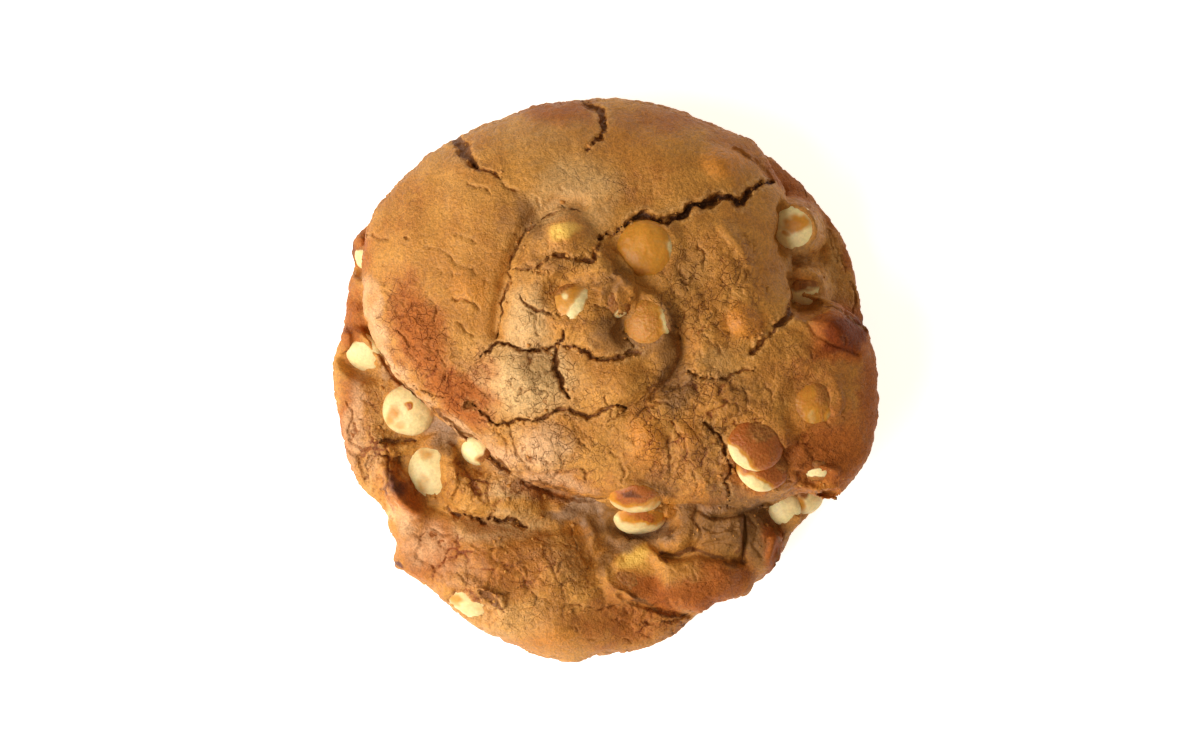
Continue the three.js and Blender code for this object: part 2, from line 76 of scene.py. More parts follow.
# An outline is a lump's widest contour seen from above, rim the height of that contour and
# slope how the contour leans along x and y. Shoulder and belly say how square the lump is
# above and below it, and fineness how many points it has.
LUMPS = {
    "base": {
        "centre": (0, 0),
        "outline": [
            (29, 44.5), (35.5, 39.5), (41, 34), (46, 26.5), (49, 15.5), (50, 5), (49.5, -6),
            (48, -13), (45, -19), (41.5, -23), (36.5, -28.5), (34.5, -32), (31, -37), (26, -40),
            (16.5, -44), (3, -49), (-8.5, -50), (-20, -47), (-29.5, -41), (-37, -34.5),
            (-41, -26.5), (-45, -21), (-48.5, -16), (-50.5, -6), (-52, 2), (-50, 8.5),
            (-49.5, 14), (-48.8, 19), (-47.6, 22.3), (-48.4, 24.5), (-47.8, 27), (-44.5, 30.5),
            (-38, 36), (-28.5, 42.5), (-16, 48), (-1, 51), (14.5, 49.5),
        ],
        "foot": SUNK_FOOT, "rim": 6, "top": 13, "slope": (0, 0),
        "shoulder": 5, "belly": 5, "fineness": 7,
    },
    "crown": {
        "centre": (3, 14),
        "outline": [
            (52, -2.5), (51, 6), (48.5, 11.5), (43.5, 15), (37, 17.5), (35.5, 23), (36.5, 29.5),
            (34, 36.5), (29, 45), (22, 48.5), (14.5, 51.5), (6, 53.5), (-3, 53.5), (-11, 53),
            (-20, 50), (-27.5, 46.5), (-35, 42), (-41.5, 35), (-45, 30), (-46, 22.5),
            (-45.5, 13), (-43, 6.5), (-39, 0), (-33, -5.5), (-26.5, -10.5), (-20, -15),
            (-14, -19), (-6.5, -21), (1, -23), (11.5, -23), (22, -23.5), (30.5, -24), (37, -21),
            (43, -22.5), (46.5, -19.5), (50, -14.5), (51.5, -9),
        ],
        "foot": 1, "rim": 14.5, "top": 30, "slope": (0, -0.09),
        "shoulder": 2.5, "belly": 3.2, "fineness": 7,
    },
    "knob": {
        "centre": (-4, 18),
        "outline": [
            (12, 15.5), (11.5, 8.5), (7, 5), (-1, 4), (-9, 6), (-17.5, 7), (-20, 10.5),
            (-19, 16.5), (-17.5, 22.5), (-14.5, 28), (-8.5, 32), (-4, 31.5), (-0.5, 27),
            (6, 22.5),
        ],
        "foot": 18, "rim": 27, "top": 33, "slope": (0, 0),
        "shoulder": 2.6, "belly": 2.6, "fineness": 6,
    },
    "ledge": {
        "centre": (-33, -3),
        "outline": [
            (-52, 2), (-50, 8.5), (-49, 15), (-47.5, 21), (-40, 25), (-26, 14), (-14, -2),
            (-10, -17), (-14, -25), (-25.5, -25.5), (-36, -27), (-44, -22.5), (-48.5, -16.5),
            (-50.5, -7),
        ],
        "foot": SUNK_FOOT, "rim": 7.5, "top": 12, "slope": (0, 0),
        "shoulder": 4, "belly": 4, "fineness": 6,
    },
    "nugget": {
        "centre": (-22, -18.5),
        "outline": [
            (-11, -22), (-12, -27), (-20, -26.5), (-27.5, -25), (-32, -22.8), (-31.8, -17),
            (-31, -11), (-28, -9), (-22, -10), (-14, -16),
        ],
        "foot": 6, "rim": 11, "top": 16.5, "slope": (0, 0),
        "shoulder": 3.4, "belly": 3, "fineness": 5,
    },
    "scorched_tip": {
        "centre": (-37, -22.5),
        "outline": [
            (-32, -23.5), (-32, -26), (-35, -28), (-39, -26), (-41.5, -22.5), (-42.5, -17),
            (-40, -15.5), (-36, -19.5),
        ],
        "foot": 2, "rim": 10, "top": 15, "slope": (0, 0),
        "shoulder": 2.2, "belly": 2.4, "fineness": 5,
    },
    "heel": {
        "centre": (-16, -38),
        "outline": [
            (2, -38), (12, -41.5), (20.5, -42.3), (18, -44.6), (13, -49), (7, -51.5),
            (-1, -52.5), (-6.5, -53.7), (-14, -52), (-23.5, -47.5), (-31, -41.5), (-36, -37.5),
            (-40, -35.5), (-39.5, -31), (-41.5, -27.5), (-40, -24.5), (-35, -23.5),
            (-29, -24.5), (-20.5, -26.5), (-11, -27.5), (-4.5, -25.5), (-2, -31),
        ],
        "foot": SUNK_FOOT, "rim": 7, "top": 17, "slope": (0, 0.08),
        "shoulder": 2.6, "belly": 4, "fineness": 6,
    },
    "flap": {
        "centre": (15, -37.5),
        "outline": [
            (0, -35.5), (3, -32), (8, -31), (12, -33.5), (18, -31.2), (23.5, -31.5), (27, -34),
            (28.7, -37), (28, -40), (25.5, -41.5), (21.5, -42.2), (18.5, -44.2), (12, -43.5),
            (6.5, -41.5), (1.5, -39),
        ],
        "foot": 3, "rim": 10, "top": 16.5, "slope": (-0.06, 0.05),
        "shoulder": 2.4, "belly": 3, "fineness": 5,
    },
    "left_fold": {
        "centre": (22, -27.5),
        "outline": [
            (14.5, -20), (27.5, -20), (28.5, -25), (27.4, -28), (27, -33.5), (22, -34),
            (17, -32.6), (14.6, -27),
        ],
        "foot": 2, "rim": 9, "top": 14.8, "slope": (0, 0.1),
        "shoulder": 4, "belly": 4, "fineness": 5,
    },
    "right_fold": {
        "centre": (29, -30),
        "outline": [(25, -22), (33, -22), (34, -28), (33.2, -34.5), (29.5, -37.5), (25.5, -35)],
        "foot": 1, "rim": 8, "top": 13, "slope": (0, 0.1),
        "shoulder": 4, "belly": 4, "fineness": 5,
    },
    "drop": {
        "centre": (13.2, -28),
        "outline": [
            (9, -27.5), (10, -23), (13, -20), (17, -22), (17.3, -29), (15.5, -32.5),
            (12, -33.2), (10.3, -31.3),
        ],
        "foot": 5, "rim": 12, "top": 16, "slope": (0, 0.25),
        "shoulder": 2.6, "belly": 3, "fineness": 5,
    },
}

# Broad mounds and hollows on the top: x, y, radius and height
MOUNDS = [
    (-20, 38, 16, 0.8), (15, 42, 12, 0.8), (22.5, 41.5, 5, 1.8), (-33, 10, 13, 1.1),
    (-25, 17, 4.5, 0.8), (26.2, 11.4, 4, 2.2), (22.5, 25.5, 8, 1.2), (8, -11.3, 4.8, 1.4),
    (16.3, -11.3, 4.2, 1.1), (-11.5, -14, 8.5, 1.7), (44, 9.5, 6.5, 2.6), (46, -4, 9, 1.5),
    (-15.5, 0, 8, 2.2), (3, -1, 7.5, 2), (19, 7, 5, 0.9), (-7.7, 27.5, 4.8, 1.3),
    (-25, -32, 9, 0.9), (-8, -47.5, 5.5, 1), (23, -36.5, 4.5, 1.2), (-46.5, 12.5, 3, 1.6),
    (-46, 19, 3.4, 1.6), (-47.5, -2, 6, 1), (10, -26, 8, -3.2), (38, 21, 4, -1.2),
    (-4, -26.4, 4.5, -1.6),
]

# Small swells that stand out between the cracks: x, y, radius and height
SWELLS = [
    (-14.5, 9.5, 5.5, 0.8), (-14, 16, 4.5, 0.6), (-1, 9, 5.5, 0.7), (0.5, 22, 4, 0.8),
    (-17.5, 1, 6, 0.5), (-1.5, -1.5, 5.5, 0.6), (-19, -17, 5, 0.7), (-3, -14.5, 5.5, 0.8),
    (1.8, -18.5, 4, 0.6), (16.5, 2.5, 4.5, 0.7), (22, -2.5, 5.5, 0.7), (18.3, -20, 4, 0.8),
    (27.5, 17, 4, 0.6), (15.5, 15.5, 4.5, 0.6), (30.5, 28, 5, 0.7), (30, 4, 4, 0.5),
    (36, 5, 5, 0.6), (-9, -36, 6, 0.8), (-20.5, -36.5, 4.5, 0.6), (-3.5, -40.5, 4.5, 0.6),
    (11, -47, 5, 0.7), (-20, -47, 5, 0.6), (-33, -31, 4.5, 0.6), (-43, -12, 4, 0.8),
    (-19.5, -20.5, 4, 0.7), (-26, -20, 3.2, 0.5), (24.5, -28.5, 3.4, 0.9), (19.5, -26, 2.6, 0.8),
    (46.5, 20, 3, 0.8), (43.5, 27, 3, 0.8), (38, 36, 3.5, 0.7), (-36, 22, 6, 0.4),
    (-26.6, -17.4, 6, 1.2),
]

# Dough that lies over the edges of buttons: x, y, half width, half length, turn and height
COVERS = [
    (-29.4, -17.2, 1.8, 6, 0, 1.3), (-39, -19.8, 2.5, 5.4, -32, 1.5),
    (3.4, 20.6, 1.8, 5, -34, 1.2), (37.6, 20.4, 3.4, 1.6, 0, 1), (-22, -41, 4, 1.8, 14, 1.2),
    (43.4, -3.4, 1.6, 3.4, 0, 0.7), (-49.6, 7.4, 1.6, 2.4, 20, 1.2), (4, 15.4, 2.2, 4.6, -10, 0.9),
]

# Soft grooves: the line, its width and its depth
GROOVES = [
    ([(7.8, 18.5), (12.2, 11.6), (15.6, 5.9), (13, 0.2), (8.7, -3), (4, -5.1)], 2.4, 2.0),
    ([(-4, 33), (-9, 33.4), (-13.8, 30), (-16, 25), (-18.2, 19), (-20, 9)], 2.2, 1.6),
    ([(28, 44), (31.5, 38), (36, 34), (40, 28.5), (42, 24)], 1.3, 1.0),
    ([(-1, -23.5), (-0.6, -27), (0.8, -31), (2.6, -34.6)], 1.8, 1.3),
]

# Rounded ridges: the line, its half width and its height
RIDGES = [
    ([(38.6, 13.2), (41.4, 11.8), (44.6, 9.8), (47.6, 7.2)], 4.4, 1.1),
    ([(42.6, 33.5), (46, 28), (48, 22), (49, 15.5)], 2.2, 0.8),
    ([(11.5, -22), (12, -25.5), (11.2, -29)], 1.8, 1.2),
    ([(-42.2, -15), (-40.4, -18.4), (-37.8, -22.4), (-35, -25.4)], 2.2, 0.8),
    ([(-43, -12), (-39.6, -13.4), (-36.6, -12.6)], 1.8, 0.9),
    ([(0.4, -36.4), (3, -40.2), (8, -42.6)], 1.8, 0.7),
    ([(14, -13.2), (17, -15.6), (19.6, -14)], 2, 0.4),
    ([(22.4, 28.6), (25, 26), (27, 22.4)], 1.8, 0.8),
    ([(17.4, -22.8), (21, -24.2), (25, -24.4), (28.4, -23)], 1.2, 0.8),
    ([(18.2, -25.4), (21.4, -26.8), (25.4, -25.8)], 0.9, 0.5),
    ([(19.4, -29.8), (23.4, -28.6), (25.4, -29.8)], 1.2, 0.5),
    ([(25.6, -26.8), (25.9, -30), (25.3, -33.2)], 0.8, 0.6),
    ([(32, -25.4), (32.4, -29.6), (31.2, -33.6)], 0.9, 0.6),
    ([(-8.4, -24.6), (-4, -26), (-2, -29), (-2.4, -33)], 1.6, 0.8),
]

# Creases between folds of dough: the line, its width and its depth
CREASES = [
    ([(-44.8, 9.7), (-42.8, 6.1), (-40.7, 2.7), (-39, 0), (-37.2, -1.8), (-34.2, -4.4)], 0.9, 1.2),
    ([(-31.9, -5.1), (-28.9, -7.4), (-25.5, -10.6), (-21.7, -14.1), (-17.9, -16.9)], 0.9, 1.4),
    ([(-20.4, -9), (-17.6, -11.2), (-18.2, -15.2), (-15.4, -18.6)], 0.5, 0.5),
    ([(-15.4, -18.8), (-11, -20.6), (-5, -22.4), (0.4, -22)], 1, 0.9),
    ([(17.6, -22.8), (16.9, -26), (18.6, -29.4), (17.2, -32.6)], 0.5, 0.5),
    ([(26.4, -25.4), (26.7, -30), (26.2, -34)], 0.5, 1.2),
    ([(33, -27), (33.5, -30), (32.4, -35)], 0.7, 0.9),
    ([(17.4, -24.4), (20.6, -25.9), (24.4, -25.7), (28.2, -24.2)], 0.5, 0.7),
    ([(18.4, -27.6), (21.6, -28.7), (25.2, -27.2)], 0.4, 0.5),
    ([(19, -31), (22.2, -30.3), (25.6, -31.4)], 0.4, 0.4),
    ([(27.2, -25.6), (29, -27.8), (28.2, -31), (30, -33.4)], 0.5, 0.5),
    ([(29.6, -25.6), (32, -28), (30.6, -30.6)], 0.4, 0.4),
    ([(11, -33.4), (14.4, -33.6), (18, -33), (22, -33.6), (26.4, -34.4)], 1, 1.3),
    ([(41, 14.6), (45, 13), (49, 9.4)], 0.7, 0.8),
    ([(37.4, 11.6), (39.4, 8.8), (43, 6.8), (48, 5)], 0.5, 0.5),
    ([(-38.5, -14), (-39.5, -18), (-41.5, -20.5)], 0.8, 0.7),
    ([(-34.6, -14.6), (-36, -18.6), (-33.4, -23.6), (-30, -25)], 0.5, 0.5),
    ([(-50, -12), (-46.5, -14), (-45, -19)], 0.8, 0.6),
    ([(3, -40.4), (6, -42.2), (10, -43.6), (16, -44.8)], 0.8, 1.1),
    ([(11.6, 9.6), (14, 7.8), (14.6, 5), (13, 1.8), (9, -3)], 0.8, 0.7),
    ([(24.6, 43.6), (29, 41), (32, 37.6)], 0.7, 0.7),
]

# Open cracks: the line, the widest mouth and the depth
WIDE_CRACK = 0.9  # cracks at least this wide are cut before the fine grid is made
CRACKS = [
    (
        [
            (-1.2, 26.2), (0.2, 27.4), (1.6, 27.2), (2.8, 28.5), (5, 30), (7.4, 31), (9.6, 29.8),
            (13.8, 30.4), (15.4, 31.2), (16.2, 32.9), (19.6, 33.3), (23.8, 34.4), (25, 33.2),
            (27.4, 35.9), (29.6, 37.4), (32.2, 37.6),
        ],
        1.3, 2.8,
    ),
    ([(-29.4, 47.2), (-26.4, 44.6), (-25.4, 42), (-23.8, 40.2)], 2.2, 1.9),
    ([(-25, 41), (-23.4, 39.6), (-20.4, 39), (-18.6, 37.6)], 0.6, 1.1),
    ([(-4.2, 53.2), (-0.4, 50.6), (0.2, 47.6), (-0.6, 45.6), (-3.4, 43)], 1.2, 1.8),
    (
        [(-4.2, 31.6), (-8, 32.8), (-12.4, 30), (-14.6, 28), (-16.4, 24.6), (-18, 20.4),
         (-19.2, 14.4), (-20, 8)],
        0.5, 0.9,
    ),
    ([(-0.8, 25.6), (-1.8, 22.6), (-5.6, 22.8), (-9.4, 23.4)], 0.9, 1.5),
    ([(-10.6, 20.7), (-13.2, 20.5), (-11.3, 22), (-10, 23.4)], 0.5, 0.8),
    ([(-17.2, 20.9), (-14, 20.8), (-11.4, 22)], 0.5, 0.9),
    ([(-23.4, 4.6), (-20, 7.2), (-17.2, 6.6), (-14, 5.7), (-11.2, 6.2), (-9, 6.6)], 0.75, 1.6),
    ([(-7.6, 6.3), (-3, 5.5), (1.2, 4.2), (4, 4.6), (7.2, 5.5)], 0.95, 1.9),
    ([(-7.8, 10), (-7.4, 8.2), (-8.8, 6.6), (-9.2, 2.4), (-8, -1), (-6.4, -3.2)], 0.75, 1.6),
    ([(-15.6, 15.8), (-13.9, 13.9), (-10.6, 12.7), (-7.6, 12)], 0.6, 1),
    ([(-1.7, 14.3), (1.3, 13.9), (1.7, 12.7), (2.7, 11.6), (4.6, 13.1), (5.2, 15.2)], 0.5, 0.9),
    ([(3.4, 10.1), (3.8, 8.2), (5.5, 6.3)], 0.5, 0.8),
    ([(-24.6, -4.2), (-20, -8.2), (-14, -7.2), (-7.6, -5.2), (-3, -6.8), (4.2, -5)], 0.8, 1.5),
    ([(36.6, 16), (34.4, 12), (30.6, 8.2), (27.4, 5.2)], 1.1, 2),
    ([(15, 2.6), (18.2, 0.6), (23.4, 0.8), (28, 2)], 0.55, 1),
    ([(17.6, -7.2), (22, -10.8), (23.8, -16.8), (22.6, -19), (23.4, -23.6)], 0.65, 1.4),
    (
        [
            (-29.6, -24.1), (-27.7, -25.5), (-25.8, -25.5), (-23.8, -26), (-22.8, -27),
            (-21.5, -25.8), (-19.6, -26.6), (-16.9, -26.4), (-14.4, -27.9),
        ],
        1.1, 2.2,
    ),
    ([(-43, -10.8), (-41, -11.4), (-38, -11.4), (-35.7, -11.4)], 0.8, 1.2),
    ([(-23.4, -39.6), (-21, -41.6), (-18.4, -44)], 1.3, 1.5),
    ([(-26, -5), (-24.4, -4)], 1.3, 1.4),
]

# Fine cracks, each a line
FINE_CRACK_WIDTH = 0.4
FINE_CRACK_DEPTH = 0.5
FINE_CRACKS = [
    [(-15.4, 13.2), (-12.6, 12.4), (-12.2, 8.4)],
    [(13, 17.6), (12.4, 13.4), (10.6, 12.8)],
    [(13.8, 19.4), (15.8, 18), (16.8, 20.6)],
    [(-0.8, -8.4), (1.5, -7), (4, -5.1)],
    [(3, -48.6), (4.6, -49.2), (5.9, -50.2)],
    [(-45.2, 27.9), (-42.6, 26.8), (-40.3, 26.8)],
    [(-28.7, 27.7), (-26.6, 27.2), (-23.9, 25.8)],
    [(17.5, 26.2), (18.8, 23.8), (18.6, 20.7)],
    [(26, 22.2), (26.6, 19.2), (25.6, 16.1)],
    [(14.1, 21.1), (15.2, 19.2), (15.6, 16.9)],
    [(13.3, 10.6), (13.9, 8.9), (14.1, 7.2)],
    [(20.1, 12.5), (19, 11.2), (18.6, 9.5)],
    [(8.7, -2.1), (6.5, -4), (4, -4.9)],
    [(18.2, -2.9), (16.7, -5.5), (17.5, -8)],
    [(12.9, -7), (12, -11), (12.2, -17.3)],
    [(16.7, -16.9), (17.5, -19.4), (17.1, -21.5)],
    [(20.1, -9.5), (21.3, -11.2), (22.6, -12.5)],
    [(-17.5, -9.1), (-16.7, -12.5), (-15.2, -15), (-13.1, -18.1)],
    [(-5.5, -8.7), (-4.6, -11.2), (-3.4, -12.5)],
    [(-4.6, -16.1), (-3, -17.3), (-3.4, -19.2)],
    [(-12, -18.4), (-9.3, -18.1), (-7.4, -15.4)],
    [(-25.6, 37), (-23.2, 36.3), (-20.9, 34.8)],
    [(-19, 38.2), (-18.6, 36.3), (-16, 35.5)],
    [(-12.3, 34.8), (-12, 32.5)],
    [(-37.6, 27), (-36.1, 26.2)],
    [(-32.9, 24.7), (-28.3, 22.6), (-22.8, 21.9)],
    [(-22.8, 6.8), (-22, 4.6), (-24.1, 3.2), (-27.5, 1)],
    [(-27.9, 11), (-25.8, 9.1), (-24.1, 8)],
    [(-28.3, 15.4), (-25.5, 15), (-23.2, 12.5)],
    [(-33.1, 15.4), (-31.2, 13.5), (-31.7, 11.2)],
    [(-39.7, 9.7), (-36.9, 7.4), (-35.3, 4)],
    [(-31.2, 5.9), (-29.6, 2.9), (-30, 0.2)],
    [(-35.9, -0.8), (-33.1, -2.1), (-29.3, -2.9)],
    [(6.8, -5.5), (9.7, -4), (12.2, -4.4)],
    [(29.6, 0.2), (31.5, -2.1), (31.2, -5.5)],
    [(24.9, -0.8), (26.8, -3.6), (26.2, -6.5)],
    [(18.2, 8.7), (21.1, 6.8), (22.4, 4.4)],
    [(0.2, -2.7), (1.5, -5.5), (0.8, -8.4)],
    [(-12.2, 6.8), (-9.9, 5.5), (-8.4, 3)],
    [(-16, -2.7), (-13.1, -1.3), (-10.6, -2.1)],
    [(1.1, -13.1), (4, -16.9), (3.4, -19.8)],
    [(-7.4, -26.4), (-5.5, -30.2), (-6.5, -34)],
    [(-25.5, -30.2), (-21.7, -31.7), (-18.8, -31.2)],
    [(-16, -34), (-14.1, -36.9), (-14.8, -40.1)],
    [(-28.3, -35.9), (-25.8, -38.2), (-23.6, -37.8)],
    [(-8.4, -41.6), (-2.7, -42.8), (3, -42.4)],
    [(6.8, -46.4), (11.6, -45.8), (16.3, -43.9)],
    [(-44.1, -14.1), (-45.2, -16.9), (-44.1, -20.7)],
    [(-49.2, -3.6), (-47.9, -7.4), (-48.6, -11.2)],
    [(46.7, 19.2), (47.9, 15.4), (47.1, 12.5)],
    [(41, 29.6), (43.3, 25.8), (44.5, 22.6)],
    [(32.5, 43.9), (35.3, 40.5), (37.2, 37.8)],
    [(38.2, 37), (41.4, 31), (44.6, 24), (46, 20.6)],
]

# Short dashes of crack that fill the crazed zones, each of a few steps
DASHES = 420
DASH_LENGTHS = (1.1, 3.4)
DASH_STEPS = 3

# The crust breaks into broad plates and small ones, of these sizes
BROAD_PLATE = 4.4
SMALL_PLATE = 1.9

# Zones of the crust. A spot is x, y, half width, half length, turn in degrees and strength.
CRAZED = [
    (-15, -2, 17, 11, 0, 1), (-34, 6, 7, 15, -28, 1), (-27, -3, 5, 9, -50, 0.9),
    (-7, 16, 12, 14, 0, 0.7), (20, 17, 13, 14, 0, 0.9), (17, -8, 15, 13, 0, 1),
    (-10, -15, 13, 8, -15, 1), (-16, -40, 21, 10, -10, 0.55), (12, -46, 10, 5, 20, 0.7),
    (0, 37, 10, 6, 0, 0.5), (-24, 22, 9, 7, 0, 0.35), (37, -12, 10, 8, 0, 0.5),
    (36, 3, 9, 8, 0, 0.5), (20, -37, 8, 5, 0, 0.5), (-45, -8, 6, 12, 0, 0.5),
]
PLATED = [
    (20, 16, 11, 13, 0, 0.6), (18, -8, 14, 12, 0, 0.9), (-16, -38, 20, 9, -10, 0.75),
    (10, -46, 10, 5, 20, 0.8), (-32, -33, 9, 6, 0, 1), (-12, -12, 10, 7, -15, 0.6),
    (-43, -12, 7, 10, 0, 1), (-15, 2, 10, 7, 0, 0.6), (-24, -19, 9, 6, 0, 0.9),
    (-28, -1, 5, 9, -50, 0.7), (-35, 8, 6, 12, -25, 0.5), (35, -14, 8, 7, 0, 0.7),
    (-7, 16, 10, 12, 0, 0.5), (36, 4, 8, 8, 0, 0.4), (20, -38, 8, 5, 0, 0.4),
]
CRUMBLY = [
    (-41, -9, 5, 9, 0, 0.9), (-21, -19, 11, 8, 0, 1), (-13, -31, 12, 7, -8, 0.5),
    (24, -26, 11, 7, 0, 0.6), (-43, 3, 3, 7, 0, 0.7), (40, 20, 5, 10, 15, 0.7),
    (32, -18.5, 10, 4, 0, 1), (-5, -38, 9, 7, 0, 0.5), (30, 8, 4, 6, -40, 0.6),
    (11, -24, 5, 8, 0, 0.8), (3, -19, 6, 3, 0, 0.5), (42, -18, 5, 4, 0, 0.9),
    (20, -20, 8, 3, 0, 0.8),
]
# Toasted crust and painted shade: most spots are browned crust, while the spots on the right side,
# under the right-hand lip and low at the front also stand in for shade
TOASTED_AND_SHADE = [
    (-34.6, 9, 6, 12, -20, 1), (-27.4, -2.4, 5, 9, -52, 1.1), (-10, -19.6, 12, 3, 0, 0.7),
    (-20, 34, 14, 8, -40, 0.2), (-9, 51, 10, 4, 8, 0.75), (-38, 33, 7, 8, 45, 0.4),
    (15, 50, 16, 4.5, -8, 0.6), (6, 43, 12, 6, 0, 0.25), (45.4, 9, 8.5, 5, -30, 1.6),
    (50.5, -4, 4, 17, 0, 1), (42, -14, 11, 10, 0, 1), (39, 1, 9, 8, 0, 0.5),
    (-33, -32, 8, 7, -30, 0.9), (-21, -35, 13, 8, 0, 0.6), (4, -46, 15, 6, 0, 0.7),
    (22, -38, 8, 5, -5, 0.95), (11, -40.5, 9, 4, 8, 1.1), (-50, -12, 3, 18, 8, 0.9),
    (-48.5, 12, 3, 9, 0, 0.9), (36, 38, 4, 9, -45, 0.9), (48, 22, 3, 14, -14, 0.8),
    (32.6, -33.5, 2.6, 7, 0, 1.2), (-46, 25, 3, 6, 0, 0.8), (-6, -50, 22, 3, 0, 0.4),
    (29, -17, 8, 4.5, 0, 0.75), (-37.4, -21.6, 3.2, 7, -32, 1), (38, 13, 5, 2, 0, 0.5),
    (-26, -27.6, 10, 2, -5, 0.5), (44, 34, 3, 8, -35, 0.7), (-47, -9, 5, 12, 8, 0.5),
    (-22.6, 2.4, 4, 4, -40, 0.6), (16, -22, 10, 3, 0, 0.4), (8, 38, 6, 6, 0, 0.4),
    (26, 44, 9, 4, 30, 0.6), (44, 31, 3, 6, -25, 0.8), (18, -41, 8, 4, 0, 1.1),
    (11, -15, 11, 6, 0, 0.42),
]
# Pale crust and painted light: the middle's pale crazed crust, plus spots that lighten dough lying
# in shade in the trough, on the knob's top and on the heel
PALE_AND_LIT = [
    (-15, 0.6, 11, 8, 0, 1), (-15, 10, 4.5, 9, 0, 0.8), (-4, 37, 9, 6, 0, 0.65),
    (-10, 31, 7, 6, 0, 0.6), (-2, 31, 5, 5, 0, 0.5), (-12, -13.4, 7, 5, 0, 0.5),
    (-20, -46, 14, 5, -10, 0.4), (-30, 38, 12, 6, 45, 0.2), (-12, 46, 12, 6, 10, 0.35),
    (-8, -34, 5, 6, 0, 0.4), (-20, -28, 10, 3, -5, 0.8), (-17, -20, 6, 3, 0, 0.9),
    (-43, -6, 5, 10, 0, 0.3), (-20, -17, 8, 5, 0, 0.3), (-6, 41, 10, 4, 0, 0.35),
    (-40.6, -25, 1.6, 2, 0, 1), (-45, -11, 5, 6, 0, 0.4), (43, 20, 2.5, 8, 12, 0.35),
    (37, 23, 3, 9, 0, 0.5), (21, 3, 5, 4, 0, 0.4),
]
# Painted sheen: a pale pinkish highlight painted on the slopes that face the main light, on the
# crown's lip, the ledge and the heel
PAINTED_SHEEN = [
    (-43.6, 14, 2.2, 8, -12, 0.9), (-40.4, 4, 1.8, 6, -28, 0.9), (-35.8, -3.2, 1.5, 5, -48, 0.8),
    (-26.6, -9.2, 1.5, 6, -50, 0.8), (-19.8, -13.6, 2.6, 5, -50, 0.9), (-12, -13, 7, 5, -15, 0.8),
    (-9, -19.2, 9, 1.7, 4, 0.8), (-48, -8, 2.6, 12, 8, 0.7), (-44, -17, 3, 5, -20, 0.5),
    (-34, -31, 6, 5, 0, 0.65), (-37.6, -26.6, 3, 3, 0, 0.8), (-22, -29, 8, 2, -6, 0.5),
    (-27, -36, 7, 4, 0, 0.45), (-28, -43.4, 6, 2.4, -35, 0.4), (-12, -33, 8, 4, 0, 0.3),
    (-14, 6, 4, 4, 0, 0.4), (-7, 32, 4, 3, 0, 0.3),
]
AMBER = [
    (8.2, -11.2, 4.2, 5, 0, 1), (26.2, 11.4, 4.2, 4.2, 0, 1.2), (22.5, 41.5, 4.6, 3.6, 0, 0.95),
    (16.3, -10.5, 3, 3.6, 0, 0.6), (-24.5, 17.3, 4, 3.6, 0, 0.7), (-7.6, -48.6, 5.5, 2.6, 0, 0.6),
    (-5, -27.6, 2.2, 2.2, 0, 0.8), (18.3, -20.6, 2.2, 2, 0, 0.7), (11.6, -24, 1.6, 3.6, 0, 0.8),
    (-44, 15.5, 1.6, 4, 0, 0.6), (6, -33.5, 4.5, 3.5, 0, 0.85), (-41, -28.5, 2.5, 1.8, 0, 0.6),
    (-5.8, 15.8, 3.8, 3.6, 0, 0.8), (36, -8, 3.5, 5, 0, 0.6), (29, -10, 5, 5, 0, 0.5),
    (-27, -43.2, 4, 2, -35, 0.7), (40.5, -21, 3, 3, 0, 0.6), (3.8, 15, 1.6, 3, -12, 0.4),
    (-30, 24, 7, 5, 30, 0.3), (-18, -8, 3, 2, 0, 0.4), (20, 27, 3, 4, 0, 0.3),
    (-42, -20, 2, 6, 0, 0.5), (-24, -18, 4, 4, 0, 0.35), (-7.9, 27.9, 5, 2.6, -10, 0.8),
    (37.8, 19.4, 2.6, 1.4, 0, 0.7), (-10, -35, 12, 7, -8, 0.35), (-20, -31, 10, 3.4, -8, 0.4),
    (8, 44, 12, 5, 0, 0.3), (-12, -45, 10, 4, 0, 0.3),
    (30, 18, 6, 8, 0, 0.3), (16, -18, 5, 4, 0, 0.4),
]
GLOWING = [(-7.9, 27.9, 3.6, 1.3, -8, 1.1), (6, -33.6, 3.2, 2.6, 0, 1)]
STICKY = [
    (-29, -9, 4.4, 3.2, -42, 1), (-33, -8.6, 2.4, 2, 0, 0.8), (-3, -23.5, 7, 2.6, -12, 1),
    (-2, -29, 4, 4, 0, 0.35), (7, -29.5, 8, 3.5, 0, 0.7), (22, -23.2, 8, 2, -6, 0.55),
    (-41, 1.5, 2, 3.5, 0, 0.5),
]
# Moist dough and painted shade: these spots darken folds, grooves and hollows that lie away from
# the light, and in part give the greyer tone of moist dough
MOIST_AND_PAINTED_SHADE = [
    (12.5, 6, 4, 10, -14, 0.9), (13.6, 0, 3.6, 6, 0, 1), (16, 20, 5, 7, 0, 0.5),
    (1.6, 18.4, 3.6, 5, 0, 0.7), (3.6, 8.2, 7, 4, 0, 1), (26, -2, 7, 5, 0, 0.45),
    (-17, 27, 3, 9, -25, 0.5), (-14.6, 30.4, 3.4, 5, -35, 0.9), (24, -26, 11, 7, 0, 1.1),
    (20, -14, 9, 9, 0, 0.5), (-10, 22, 7, 2.4, 0, 0.5), (12, -28.6, 3, 2.4, 0, 0.9),
    (30, -29, 6, 7, 0, 1),
    (10, -20, 5, 4, 0, 0.8), (-3.6, 18, 3.4, 2, 0, 0.5), (38, 24, 2, 3, 0, 0.5),
    (-4, -26.6, 5, 2.6, 0, 1.2), (0.6, -32, 2.2, 5, 0, 0.9), (0.4, -27, 3, 3, 0, 1.2),
    (-9, -25.4, 3, 1.4, -10, 0.9), (8.4, 9, 3.4, 5, 0, 0.8),
    (14, -16, 9, 4, 0, 0.4), (-29.6, -12.6, 3, 2.2, -40, 0.9),
]
